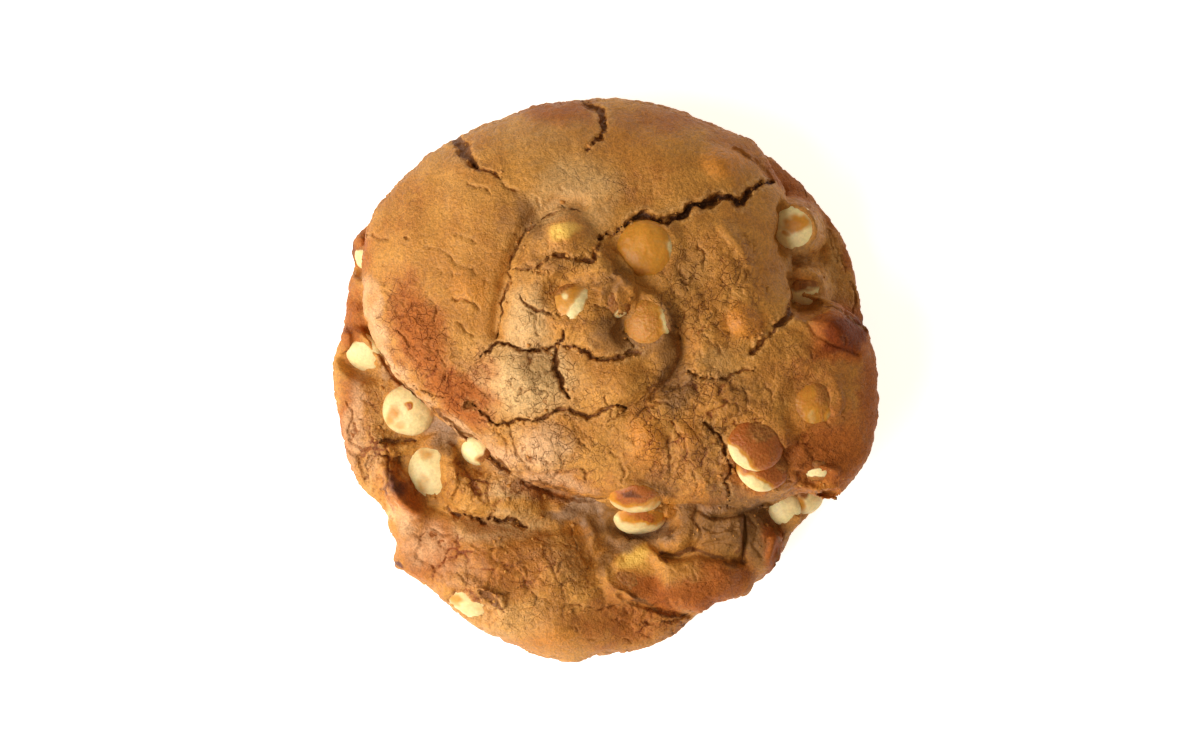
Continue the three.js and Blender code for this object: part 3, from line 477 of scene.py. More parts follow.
SCORCHED = [
    (-39.6, -19.4, 1.8, 3.8, -32, 0.9), (-48.2, 25.6, 1.4, 1.6, 0, 0.7), (-39.5, -35.2, 1, 1, 0, 1),
]

# ---------------------------------------------------------------------------------------------
# The buttons, with these words, of which some may be left out:
#   size            share of a whole button
#   faces, lean     which way and how far its top leans, in degrees
#   stand           how far its top rises above the dough round it
#   hug             how far the dough turns up on the side that it faces, in degrees
#   shift           how far it lies from the middle of its solid
#   lip             a line: the dough on its left keeps its height and lies over the button
#   toast, film     how far it is browned, and how far covered by dough, all over
#   white           how far its cream is still fresh; on the trough buttons in the crown's shade it is also painted light
#   browned, filmed spots, as in the zones but from its own middle, with more toast or film
#   bare, clear     spots with no toast and no film, and spots with no film
BUTTONS = {
    "trough_upper": {
        "size": 0.92, "faces": 205, "lean": 18, "stand": 1.2, "shift": (-0.9, 0.1, 2.5),
        "lip": ((32.4, 23), (33.2, 35)), "white": 1,
        "browned": [(0.6, 0.8, 2.8, 1.9, -10, 0.56), (-1.2, -1, 1, 0.8, 0, 0.4)],
    },
    "trough_lower": {
        "size": 0.74, "faces": 262, "lean": 14, "stand": 0.9, "shift": (0, -0.8, 4.3),
        "lip": ((34.8, 10), (35, 24)), "white": 0.8, "toast": 0.05,
        "filmed": [(0, 1.5, 4.2, 2.2, 0, 1)],
    },
    "knob_edge": {
        "size": 1.1, "faces": 190, "lean": 8, "stand": 1.7, "toast": 0.5,
        "bare": [(5.2, 0.6, 0.7, 3, -8, 0.9)], "browned": [(-1, -4.4, 4.4, 1.4, 12, 0.72)],
    },
    "knob_left": {
        "size": 0.86, "faces": 120, "lean": 20, "stand": 0.8, "toast": 0.44,
        "white": 0.5, "bare": [(1.1, -0.6, 0.9, 3.8, 32, 1.3), (-1.3, 1, 0.5, 0.5, 0, 0.9)],
        "filmed": [(-2.6, 3, 4.4, 2, -35, 0.9)],
    },
    "knob_right": {
        "size": 0.96, "faces": 185, "lean": 16, "stand": 1.1, "toast": 0.5, "film": 0.5,
        "bare": [(4.2, -0.8, 1.1, 4.6, -14, 1.2)], "clear": [(4.2, -0.8, 1.3, 4.8, -14, 1.2)],
    },
    "knob_middle": {
        "size": 0.7, "faces": 330, "lean": 30, "stand": 0.7, "shift": (1.2, -1, 0),
        "toast": 0.12, "film": 1, "bare": [(0.5, -2.7, 1.4, 0.9, 0, 1.1)],
    },
    "right_shoulder": {
        "size": 0.94, "faces": 20, "lean": 7, "stand": 1, "shift": (0, 0, 0.4), "toast": 0.64,
        "film": 0.6, "bare": [(-0.6, -2.6, 1.1, 1.8, 10, 0.45), (2.8, -2.8, 1, 1.6, 0, 0.45)],
        "clear": [
            (-0.6, -2.2, 1.8, 2.2, 10, 1), (2.8, -2.8, 1, 1.6, 0, 1), (-2.4, 1.4, 2, 2.4, 0, 1),
        ],
    },
    "pair_upper": {
        "size": 1.06, "faces": 60, "lean": 16, "stand": 1.7, "hug": 18, "shift": (-0.3, -1.4, 0.3),
        "toast": 0.92, "bare": [(-3.4, -3, 1.6, 6, -46, 1.1)],
        "filmed": [(2.6, 3.4, 5.4, 2.6, -30, 1)],
    },
    "pair_lower": {
        "size": 1.04, "faces": 60, "lean": 18, "stand": 2, "hug": 16, "shift": (-0.5, -0.3, 0.6),
        "toast": 0.92, "bare": [(-1.8, -3.8, 1.5, 6, -62, 1.1)],
        "filmed": [(4, 1, 2, 3, 0, 0.9)],
    },
    "sliver": {
        "size": 0.56, "faces": 262, "lean": 50, "stand": 0.5, "shift": (0.2, -0.2, 0.3),
        "lip": ((35, -16.1), (44, -16.4)), "white": 0.6, "toast": 0.05,
        "filmed": [(0, 1.4, 3, 0.9, 6, 1), (0, -1.4, 3, 0.7, 6, 1)],
    },
    "under_lip_left": {
        "size": 0.7, "faces": 235, "lean": 20, "stand": 0.7, "shift": (0.2, 0.3, 0),
        "lip": ((29, -23), (40, -22.8)), "white": 0.7,
    },
    "under_lip_right": {
        "size": 0.74, "faces": 315, "lean": 34, "stand": 0.9, "shift": (-0.5, -0.2, 0.1),
        "lip": ((33, -22.4), (45, -20.6)), "toast": 0.05,
        "browned": [(-1.4, -0.6, 1, 2.4, -20, 0.5)], "filmed": [(-1, 1.6, 1.4, 2, -20, 0.9)],
    },
    "stack_upper": {
        "size": 1.02, "faces": 268, "lean": 60, "stand": 2, "toast": 0.1,
        "browned": [(-0.2, 1, 5.4, 2.6, 0, 1.05), (-1, 1.1, 3.4, 1.1, 8, 1.4)],
    },
    "stack_lower": {
        "size": 1.02, "faces": 272, "lean": 58, "stand": 2, "shift": (0, -0.2, 0.8),
        "white": 0.5, "toast": 0.04,
        "browned": [(0.4, 1.1, 4.6, 2, 6, 0.86), (1.2, 0.4, 2.4, 0.9, 20, 1.05)],
    },
    "flap": {
        "size": 1, "faces": 60, "lean": 26, "stand": 0.1, "hug": 13, "toast": 0.5, "film": 0.7,
        "bare": [(-2.6, -3.6, 0.9, 4.4, -52, 1)], "filmed": [(4, 0.6, 1.8, 5, 0, 0.9)],
    },
    "ledge": {
        "size": 1.01, "faces": 240, "lean": 8, "stand": 2.1, "lip": ((-39.6, 0.4), (-32.4, -6.2)),
        "toast": 0.1,
        "browned": [
            (-3, -0.9, 1.6, 2.4, 20, 0.42), (0.2, 0.8, 0.62, 0.55, 0, 0.95),
            (-1.6, -2.8, 1.8, 1, 0, 0.34),
        ],
    },
    "left_edge": {
        "size": 0.86, "faces": 228, "lean": 44, "stand": 0.9, "shift": (0.2, 0, 0.2),
        "lip": ((-46, 10.4), (-40.6, 1.8)), "toast": 0.08,
        "browned": [(-1.4, 3, 2, 1.4, -30, 0.6)], "filmed": [(-2.6, 3, 1, 1.4, 0, 0.9)],
    },
    "nugget": {
        "size": 1.08, "faces": 190, "lean": 16, "stand": 1.2, "shift": (-0.8, -0.2, 0),
        "lip": ((-31.2, -8), (-30.2, -26)), "toast": 0.1,
        "browned": [(-1.4, -2.4, 1.6, 2.2, 0, 0.3), (-1, 3.4, 2, 1.6, 30, 0.36)],
    },
    "nugget_tip": {
        "size": 0.6, "faces": 225, "lean": 34, "stand": 1.2, "shift": (-0.4, -0.6, 0.9),
        "lip": ((-26.9, -7.9), (-18, -15.1)), "white": 1,
        "browned": [(1.6, -1.2, 1.6, 2.2, 20, 0.4)], "filmed": [(2.2, -1.2, 1.4, 2.6, 20, 1)],
    },
    "upper_left_edge": {
        "size": 0.6, "faces": 205, "lean": 46, "stand": 0.7, "shift": (0.6, -0.8, 0.6),
        "lip": ((-46.4, 30), (-45.6, 16)), "toast": 0.12,
        "filmed": [(0, 2.2, 3, 1.2, 0, 1)],
    },
    "heel_edge": {
        "size": 0.94, "faces": 245, "lean": 46, "stand": 0.7, "shift": (0.3, 0.3, 0), "toast": 0.2,
        "filmed": [(1.6, 2, 3, 1.4, 0, 0.9)], "browned": [(-2.6, 0, 1.8, 1.6, 0, 0.45)],
    },
}

# A button's profile: reach from its axis as a share of its radius, and height as a share of
# half its thickness
BUTTON_PROFILE = [
    (0, -1), (0.5, -1), (0.8, -0.98), (0.93, -0.84), (1, -0.46), (0.97, -0.06), (0.86, 0.3),
    (0.68, 0.62), (0.44, 0.86), (0.2, 0.97), (0, 1),
]
BUTTON_STEPS = 36
COLLAR = 2.8  # how far round a button the dough rises or falls to its side
SNUG = 0.92  # share of a button's radius within which the dough has its full settled height
SCATTER = 1.5  # how far light reaches into white chocolate

# Crumbs
SLOPE_LIMIT = 0.35  # crumbs lie only where the dough's normal points up at least this far
DROP_HEIGHT = 100.0  # crumbs are dropped onto the dough from here


# ---------------------------------------------------------------------------------------------
# Stage

FLOOR_SIZE = 4.0
FLOOR_TINT = (1.0, 0.97, 0.88)  # colour of the light that the lit floor gives off
SKY_TINT = (1.0, 0.88, 0.7)
SENSOR = 36.0
FRAME_WIDTH = 228.0  # how much of the cookie's level the picture shows from left to right
FRAME_MIDDLE = (-0.76, 2.95)  # the point that the camera looks down on
FRAME_LEVEL = 12.0  # the height that FRAME_WIDTH is measured at
KEY_PLACE = (-0.42, -0.2, 0.34)  # the main light, in metres
KEY_SIZE = 0.65


# ---------------------------------------------------------------------------------------------
# Settings

def colour(name, description, default):
    """A colour property in linear values."""
    return FloatVectorProperty(
        name=name, description=description, subtype="COLOR", size=3, min=0, max=1, default=default
    )


def length(name, description, millimetres):
    """A length property."""
    return FloatProperty(
        name=name, description=description, default=millimetres * MM, unit="LENGTH", min=0
    )


class DoughSettings(PropertyGroup):
    """Fineness and colours of the baked dough."""
    first_grid: length("First grid", "Grid that fuses the lumps", 0.42)
    fine_grid: length("Fine grid", "Grid that the fine relief is worked on", 0.27)
    triangles: IntProperty(
        name="Triangles", description="Triangles left in the finished dough", default=196000
    )
    crust: colour("Crust", "Plain baked crust", (0.50, 0.195, 0.028))
    golden: colour("Golden crust", "Lighter patches of the crust", (0.58, 0.25, 0.042))
    # pale crazed crust, also used as painted light where the dough lies in shade
    pale: colour("Pale crumb", "Pale, crazed crust", (0.70, 0.41, 0.155))
    # toasted crust, also used as painted shade on the right side and low at the front
    toasted_and_shade: colour("Toasted", "Reddish toasted crust", (0.40, 0.112, 0.018))
    # darkest toasted crust, also the deepest painted shade of the toasted zones
    dark_toast_and_shade: colour("Dark toasted", "Darkest toasted crust", (0.19, 0.036, 0.005))
    amber: colour("Amber", "Dough over a covered button", (0.62, 0.225, 0.026))
    # painted sheen: a highlight painted on the slopes that face the light
    painted_sheen: colour("Bloom", "Pale bloom on the slopes", (0.74, 0.41, 0.19))
    sticky: colour("Sticky", "Caramelised dough in hollows", (0.36, 0.19, 0.085))
    # painted shade in folds, grooves and hollows, in part the greyer tone of moist dough
    moist_and_painted_shade: colour("Moist", "Moist brown dough", (0.26, 0.108, 0.022))
    scorched: colour("Scorched", "Scorched tips", (0.13, 0.043, 0.028))
    glowing: colour("Glowing", "Cream that shows through a thin skin", (1.0, 0.58, 0.11))
    # brown crumb inside the cracks, darkened as painted shade
    crack: colour("Crack", "Brown crumb inside the cracks", (0.24, 0.085, 0.016))
    # painted shade in the deepest part of the cracks and creases
    painted_pit_shade: colour("Pit", "Deepest part of the cracks", (0.055, 0.016, 0.003))


class ButtonSettings(PropertyGroup):
    """Size and colours of the white chocolate buttons."""
    radius: length("Radius", "Radius of a whole button", 5)
    thickness: length("Thickness", "Thickness of a whole button", 3.4)
    cream: colour("Cream", "Plain white chocolate", (0.86, 0.65, 0.29))
    # whiter cream: fresh chocolate on some buttons, painted light on the trough buttons that lie in
    # shade
    fresh_and_lit: colour("Fresh", "White chocolate that the oven left white", (0.96, 0.76, 0.36))
    amber: colour("Amber", "White chocolate turned amber", (0.62, 0.25, 0.024))
    brown: colour("Brown", "White chocolate baked brown", (0.42, 0.115, 0.018))
    burnt: colour("Burnt", "White chocolate burnt dark", (0.085, 0.022, 0.007))
    film: colour("Film", "Thin dough over a button", (0.45, 0.17, 0.034))


class CrumbSettings(PropertyGroup):
    """Number and size of the loose crumbs."""
    along_cracks: IntProperty(
        name="Along cracks", description="Crumbs for each 10 mm of crack", default=6
    )
    scattered: IntProperty(
        name="Scattered", description="Crumbs on the crumbly zones", default=170
    )
    smallest: length("Smallest", "Radius of the smallest crumb", 0.16)
    largest: length("Largest", "Radius of the largest crumb", 0.42)


class StageSettings(PropertyGroup):
    """Floor, light and camera."""
    floor: colour("Floor", "Pale floor", (0.9, 0.9, 0.9))
    floor_glow: FloatProperty(
        name="Floor glow", description="Light that the lit floor gives off", default=0.85, min=0
    )
    key_power: FloatProperty(
        name="Main light", description="Power of the main light", default=5.2, unit="POWER", min=0
    )
    sky: FloatProperty(
        name="Sky", description="Strength of the light from all round", default=0.3, min=0
    )
    camera_height: length("Camera height", "Height of the camera above the floor", 900)


# ---------------------------------------------------------------------------------------------
# Number work on arrays of points, in millimetres

def smooth_step(low, high, value):
    """0 below low, 1 above high and a smooth rise between them."""
    share = np.clip((value - low) / (high - low), 0, 1)
    return share * share * (3 - 2 * share)


def table_of(seed):
    """A shuffled table that gives each cell of a lattice its random key."""
    return np.random.default_rng(seed).permutation(256)


def cell_key(table, cell):
    """The random key of each cell, from 0 to 255."""
    return table[(table[(table[cell[:, 0] & 255] + cell[:, 1]) & 255] + cell[:, 2]) & 255]


def grain(points, size, seed):
    """Smooth noise from -1 to 1, with lumps of that size."""
    table = table_of(seed)
    cell = np.floor(points / size).astype(int)
    part = points / size - cell
    part = part * part * (3 - 2 * part)
    total = np.zeros(len(points))
    for corner in np.ndindex(2, 2, 2):
        weight = np.prod(np.where(np.array(corner) == 1, part, 1 - part), axis=1)
        total += weight * (cell_key(table, cell + corner) / 127.5 - 1)
    return total


def plates(points, size, seed):
    """Scattered plates of that size: how far each point lies from the border of its plate, and
    a rise from -1 to 1 that all points of a plate share."""
    table = table_of(seed)
    shifts = np.random.default_rng(seed + 1).random((256, 3))
    home = np.floor(points / size).astype(int)
    nearest = np.full(len(points), np.inf)
    second = np.full(len(points), np.inf)
    rise = np.zeros(len(points))
    for offset in np.ndindex(3, 3, 3):
        cell = home + offset - 1
        key = cell_key(table, cell)
        distance = np.linalg.norm(points - (cell + shifts[key]) * size, axis=1)
        second = np.minimum(second, np.maximum(nearest, distance))
        rise = np.where(distance < nearest, key / 127.5 - 1, rise)
        nearest = np.minimum(nearest, distance)
    return second - nearest, rise


def smooth_ring(outline, steps=8):
    """A closed smooth curve through an outline's points."""
    corners = np.array(outline, float)
    ring = []
    for i in range(len(corners)):
        before, start, end, after = (corners[(i + k) % len(corners)] for k in (-1, 0, 1, 2))
        for t in np.arange(steps) / steps:
            ring.append(
                0.5 * (2 * start + (end - before) * t
                       + (2 * before - 5 * start + 4 * end - after) * t**2
                       + (3 * start - before - 3 * end + after) * t**3)
            )
    return np.array(ring)


def prepare_lumps():
    """Works out each lump's radius all round, exact and averaged."""
    for lump in LUMPS.values():
        ring = smooth_ring(lump["outline"]) - lump["centre"]
        angle = np.arctan2(ring[:, 1], ring[:, 0])
        radius = np.hypot(ring[:, 0], ring[:, 1])
        order = np.argsort(angle)
        lump["edge"] = np.interp(ROUND, angle[order], radius[order], period=2 * math.pi)
        open_ring = lump["edge"][:-1]
        shifted = [np.roll(open_ring, k) for k in range(-SOFTENING, SOFTENING + 1, 5)]
        average = np.mean(shifted, axis=0)
        lump["average"] = np.append(average, average[0])


def share_out(lump, x, y):
    """How far out points lie in a lump, from 0 at its centre to 1 on its outline."""
    dx = x - lump["centre"][0]
    dy = y - lump["centre"][1]
    angle = np.arctan2(dy, dx)
    reach = np.hypot(dx, dy)
    edge = np.minimum(1, reach / np.interp(angle, ROUND, lump["edge"]))
    soft = np.minimum(1, reach / np.interp(angle, ROUND, lump["average"]))
    return np.minimum(1, soft + (edge - soft) * edge**3)


def near_line(x, y, line):
    """Distance from points to a line, and how far along the line its nearest point is."""
    corners = np.array(line, float)
    runs = np.hypot(*(corners[1:] - corners[:-1]).T)
    starts = np.concatenate([[0], np.cumsum(runs)])
    best = np.full(len(x), np.inf)
    along = np.zeros(len(x))
    for i, (a, b) in enumerate(zip(corners[:-1], corners[1:])):
        step = b - a
        t = np.clip(((x - a[0]) * step[0] + (y - a[1]) * step[1]) / (step @ step), 0, 1)
        distance = np.hypot(x - a[0] - t * step[0], y - a[1] - t * step[1])
        closer = distance < best
        best = np.where(closer, distance, best)
        along = np.where(closer, starts[i] + t * runs[i], along)
    return best, along / starts[-1]


def bumps(x, y, spots):
    """Height of round swells (or hollows) at points."""
    height = np.zeros(len(x))
    for sx, sy, radius, rise in spots:
        share = np.clip(np.hypot(x - sx, y - sy) / radius, 0, 1)
        height += rise * (1 - share * share) ** 2
    return height


def furrows(x, y, lines):
    """Depth of soft grooves at points."""
    depth = np.zeros(len(x))
    for line, width, deep in lines:
        share = np.clip(near_line(x, y, line)[0] / width, 0, 1)
        depth = np.maximum(depth, deep * (1 - share * share) ** 2)
    return depth


def zone(x, y, spots):
    """Strength of a zone at points: the strongest of its soft oval spots."""
    strength = np.zeros(len(x))
    for sx, sy, wide, long, turn, most in spots:
        cosine = math.cos(math.radians(turn))
        sine = math.sin(math.radians(turn))
        across = (cosine * (x - sx) - sine * (y - sy)) / wide
        down = (sine * (x - sx) + cosine * (y - sy)) / long
        strength = np.maximum(strength, most * np.exp(-(across**2 + down**2) ** 1.5))
    return strength


def flat(x, y, z=0.0):
    """Points from separate coordinates."""
    return np.column_stack([x, y, np.broadcast_to(z, np.shape(x))])


def relief(x, y):
    """Height that mounds, grooves and broad unevenness add to the top."""
    place = flat(x, y)
    uneven = 0.45 * grain(place, 8.5, 4127) + 0.22 * grain(place, 3.4, 4128)
    return bumps(x, y, MOUNDS) - furrows(x, y, GROOVES) + uneven


def lump_top(lump, x, y, share):
    """Height of one lump's upper surface."""
    rim = rim_height(lump, x, y)
    bulge = np.sqrt(1 - share ** lump["shoulder"])
    return rim + (lump["top"] - rim) * bulge + relief(x, y) * np.minimum(1, 2 * bulge)


def rim_height(lump, x, y):
    """Height of a lump's widest contour."""
    slope = lump["slope"]
    return lump["rim"] + slope[0] * (x - lump["centre"][0]) + slope[1] * (y - lump["centre"][1])


def dough_top(x, y):
    """Height of the fused dough above points, before cracks and swells."""
    height = np.zeros(len(x))
    for lump in LUMPS.values():
        share = share_out(lump, x, y)
        inside = share < 1
        top = lump_top(lump, x[inside], y[inside], share[inside])
        height[inside] = np.maximum(height[inside], top)
    return height


def ragged(line, sway, random, rounds=3):
    """A line broken into shorter and shorter steps that sway to its sides."""
    points = [Vector(p) for p in line]
    for _ in range(rounds):
        finer = [points[0]]
        for a, b in zip(points, points[1:]):
            side = Vector((a.y - b.y, b.x - a.x))
            finer += [(a + b) / 2 + side * random.uniform(-sway, sway), b]
        points = finer
    return [tuple(p) for p in points]


def all_cracks():
    """Every crack as a ragged line with its width and depth."""
    random = np.random.default_rng(611)
    cracks = [(ragged(line, 0.17, random), width, deep) for line, width, deep in CRACKS]
    for line in FINE_CRACKS:
        strength = random.uniform(0.8, 1.25)
        cracks.append(
            (ragged(line, 0.2, random), FINE_CRACK_WIDTH * strength, FINE_CRACK_DEPTH * strength)
        )
    return cracks + dashes(random)


def dashes(random):
    """Short fine cracks scattered over the crazed zones."""
    found = []
    while len(found) < DASHES:
        start = random.uniform(-50, 50, 2)
        if random.random() > zone(start[:1], start[1:], CRAZED)[0]:
            continue
        heading = random.uniform(0, 2 * math.pi)
        step = random.uniform(*DASH_LENGTHS) / DASH_STEPS
        line = [tuple(start)]
        for _ in range(DASH_STEPS):
            heading += random.uniform(-0.8, 0.8)
            x, y = line[-1]
            line.append((x + step * math.cos(heading), y + step * math.sin(heading)))
        width = random.uniform(0.26, 0.4)
        found.append((ragged(line, 0.24, random, 1), width, 0.7 * width))
    return found


def cracking(points, cracks):
    """At points of the top: depth of the cracks, how far inside one each point lies and how
    near its crumbling edge."""
    depth = np.zeros(len(points))
    inside = np.zeros(len(points))
    edge = np.zeros(len(points))
    fray = 0.3 * grain(points, 0.85, 31) + 0.26 * grain(points, 0.45, 32)
    swing = np.clip(1 + 0.8 * grain(points, 2.9, 33) + 0.5 * grain(points, 1.2, 34), 0.3, 1.9)
    floor = 0.85 + 0.3 * grain(points, 1.1, 35)
    for line, width, deep in cracks:
        corners = np.array(line)
        low = corners.min(axis=0) - 2 * width
        high = corners.max(axis=0) + 2 * width
        near = np.flatnonzero(np.all((points[:, :2] > low) & (points[:, :2] < high), axis=1))
        if not len(near):
            continue
        distance, along = near_line(points[near, 0], points[near, 1], line)
        taper = np.sqrt(np.sin(math.pi * (0.04 + 0.92 * along)))
        half = 0.5 * width * taper * swing[near]
        share = (distance + fray[near] * min(1, width)) / half
        here = 1 - smooth_step(0.35, 1.2, share)
        depth[near] = np.maximum(depth[near], deep * here * floor[near])
        weight = min(1, 0.2 + 0.3 * deep)
        inside[near] = np.maximum(inside[near], weight * (1 - smooth_step(0.5, 1.3, share)))
        edge[near] = np.maximum(edge[near], weight * np.exp(-((share - 1.7) / 0.6) ** 2))
    return depth, inside, edge


# ---------------------------------------------------------------------------------------------
# Mesh helpers

def pick(*objects):
    """Selects only these objects, the first of them active."""
    bpy.ops.object.select_all(action="DESELECT")
    for item in objects:
        item.select_set(True)
    bpy.context.view_layer.objects.active = objects[0]


def read_points(piece):
    """A piece's vertices in millimetres."""
    values = np.empty(len(piece.data.vertices) * 3)
    piece.data.vertices.foreach_get("co", values)
    return values.reshape(-1, 3) / MM


def write_points(piece, points):
    """Moves a piece's vertices, given in millimetres."""
    piece.data.vertices.foreach_set("co", (points * MM).ravel())
    piece.data.update()


def read_normals(piece):
    """A piece's vertex normals."""
    values = np.empty(len(piece.data.vertices) * 3)
    piece.data.vertex_normals.foreach_get("vector", values)
    return values.reshape(-1, 3)


def apply_modifier(piece, kind, **settings):
    """Adds a modifier and applies it."""
    pick(piece)
    modifier = piece.modifiers.new(kind.title(), kind)
    for name, value in settings.items():
        setattr(modifier, name, value)
    bpy.ops.object.modifier_apply(modifier=modifier.name)


def store(piece, name, values):
    """Keeps a number at each vertex for the materials."""
    layer = piece.data.attributes.new(name, "FLOAT", "POINT")
    layer.data.foreach_set("value", np.asarray(values, np.float32))


# ---------------------------------------------------------------------------------------------
# Dough

def model_lump(name, lump):
    """A ball whose widest contour follows the outline and whose top and underside bulge."""
    bpy.ops.object.select_all(action="DESELECT")
    bpy.ops.mesh.primitive_ico_sphere_add(subdivisions=lump["fineness"], radius=MM)
    piece = bpy.context.object
    piece.name = name
    ball = read_points(piece)
    angle = np.arctan2(ball[:, 1], ball[:, 0])
    radius = np.hypot(ball[:, 0], ball[:, 1]) * np.interp(angle, ROUND, lump["edge"])
    x = lump["centre"][0] + radius * np.cos(angle)
    y = lump["centre"][1] + radius * np.sin(angle)
    share = share_out(lump, x, y)
    rim = rim_height(lump, x, y)
    under = rim + (lump["foot"] - rim) * np.sqrt(1 - share ** lump["belly"])
    z = np.where(ball[:, 2] > 0, lump_top(lump, x, y, share), under)
    write_points(piece, flat(x, y, z))
    return piece


def fuse(pieces, grid):
    """Joins pieces and fuses them into one skin."""
    pick(*pieces)
    bpy.ops.object.join()
    apply_modifier(pieces[0], "REMESH", mode="VOXEL", voxel_size=grid, adaptivity=0)
    return pieces[0]


def seat(points, low=0.14):
    """Flattens the underside: all that lies lower than low comes to z = 0."""
    points[:, 2] = np.where(points[:, 2] < low, 0, points[:, 2])
    return points


def on_top(points, height, reach):
    """1 where points belong to the upper surface, fading below it."""
    return smooth_step(reach + 1.5, reach, height - points[:, 2])


def button_place(name, button):
    """A button's middle in millimetres."""
    low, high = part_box("button_" + name)
    shift = Vector(button.get("shift", (0, 0, 0)))
    return (low + high) / 2 / MM + shift


def button_axis(faces, lean):
    """The direction that a leaning button's top faces."""
    heading = math.radians(faces)
    tilt = math.radians(lean)
    return Vector((
        math.sin(tilt) * math.cos(heading), math.sin(tilt) * math.sin(heading), math.cos(tilt)
    ))


def button_size(button):
    """A button's radius and thickness in millimetres."""
    settings = bpy.context.scene.cookie_button
    size = button["size"]
    return settings.radius / MM * size, settings.thickness / MM * math.sqrt(size)


def settle(x, y, height):
    """The top's height where the dough rises or falls to the sides of the buttons."""
    best = np.zeros(len(x))
    goal = np.array(height)
    for name, button in BUTTONS.items():
        middle = button_place(name, button)
        radius, thickness = button_size(button)
        axis = button_axis(button["faces"], button["lean"])
        dx = x - middle.x
        dy = y - middle.y
        drop = (axis.x * dx + axis.y * dy) / axis.z
        reach = np.sqrt(dx**2 + dy**2 + drop**2)
        weight = smooth_step(radius + COLLAR, radius * SNUG, reach)
        if "lip" in button:
            (ax, ay), (bx, by) = button["lip"]
            right = ((x - ax) * (by - ay) - (y - ay) * (bx - ax)) / math.hypot(bx - ax, by - ay)
            weight = weight * smooth_step(-0.6, 0.3, right + 0.5 * grain(flat(x, y), 1.8, 46))
        slope = button_axis(button["faces"], button["lean"] - button.get("hug", 0))
        level = middle.z + (thickness / 2 - button["stand"]) / axis.z
        plane = level - (slope.x * dx + slope.y * dy) / slope.z
        closer = (weight > best) | ((weight > 0.98) & (plane < goal))
        best = np.where(closer, weight, best)
        goal = np.where(closer, plane, goal)
    return height + (goal - height) * best


def work_relief(piece, cracks):
    """Beds the buttons in the top, raises its swells and opens its wide cracks."""
    points = read_points(piece)
    x, y = points[:, 0], points[:, 1]
    height = dough_top(x, y)
    top = on_top(points, height, 2.5)
    facing = smooth_step(-0.1, 0.35, read_normals(piece)[:, 2])
    bedded = settle(x, y, height)
    depth, _, _ = cracking(points, [crack for crack in cracks if crack[1] >= WIDE_CRACK])
    swells = bumps(x, y, SWELLS) + furrows(x, y, RIDGES)
    free = smooth_step(1.2, 0, np.abs(bedded - height))
    lift = bedded - height + swells * free
    for cover in COVERS:
        shape = zone(x, y, [cover[:5] + (1,)])
        lift += cover[5] * smooth_step(0.3, 0.55, shape + 0.16 * grain(points, 1.3, 45))
    points[:, 2] += top * facing * (lift - depth)
    write_points(piece, seat(points))


def network(points):
    """The crust's plates at points: how far each point is raised with its plate, and how deep
    it lies in the broken gaps between them, from 0 to 1."""
    flatter = points * (1, 1, 0.35)
    warped = flatter + 0.8 * np.column_stack([grain(flatter, 2.2, s) for s in (51, 52, 53)])
    warped += 0.4 * np.column_stack([grain(flatter, 0.8, s) for s in (54, 55, 56)])
    broad_gap, broad_rise = plates(warped, BROAD_PLATE, 61)
    small_gap, small_rise = plates(warped, SMALL_PLATE, 62)
    broken = smooth_step(-0.6, 0.1, grain(flatter, 3.4, 63))
    broken_small = smooth_step(-0.1, 0.4, grain(flatter, 1.7, 65))
    gap = broken * np.exp(-broad_gap / 0.3) + 0.65 * broken_small * np.exp(-small_gap / 0.2)
    return 0.7 * broad_rise + 0.3 * small_rise, np.minimum(1, gap)


def work_crust(piece, cracks):
    """Adds thin cracks, creases and plates, and a crumbly grain square to the surface."""
    points = read_points(piece)
    normals = read_normals(piece)
    x, y = points[:, 0], points[:, 1]
    _, inside, edge = cracking(points, cracks)
    thin, _, _ = cracking(points, [crack for crack in cracks if crack[1] < WIDE_CRACK])
    side = 1 - smooth_step(0.2, 0.6, normals[:, 2])
    crumbly = np.maximum(zone(x, y, CRUMBLY), np.maximum(inside, 0.4 * side))
    plated = np.maximum(zone(x, y, PLATED), 0.6 * side)
    plated *= 1 - 0.8 * smooth_step(0.66, 0.9, zone(x, y, AMBER))
    rise, gap = network(points)
    move = 0.08 * grain(points, 1.1, 71) + 0.06 * grain(points, 0.55, 72)
    move += crumbly * (0.34 * grain(points, 1.9, 73) + 0.24 * grain(points, 0.85, 74))
    move += 0.16 * grain(points, 4.5, 75)
    move += plated * (0.34 * rise - 0.55 * gap)
    move += edge * (0.1 + 0.22 * grain(points, 0.8, 76))
    standing = smooth_step(0.1, 1.2, points[:, 2])
    points += normals * (move * standing)[:, None]
    top = on_top(points, dough_top(x, y), 5)
    facing = smooth_step(-0.1, 0.35, normals[:, 2])
    points[:, 2] -= top * facing * (thin + furrows(x + 0.5 * grain(points, 2, 77), y, CREASES))
    write_points(piece, seat(points))


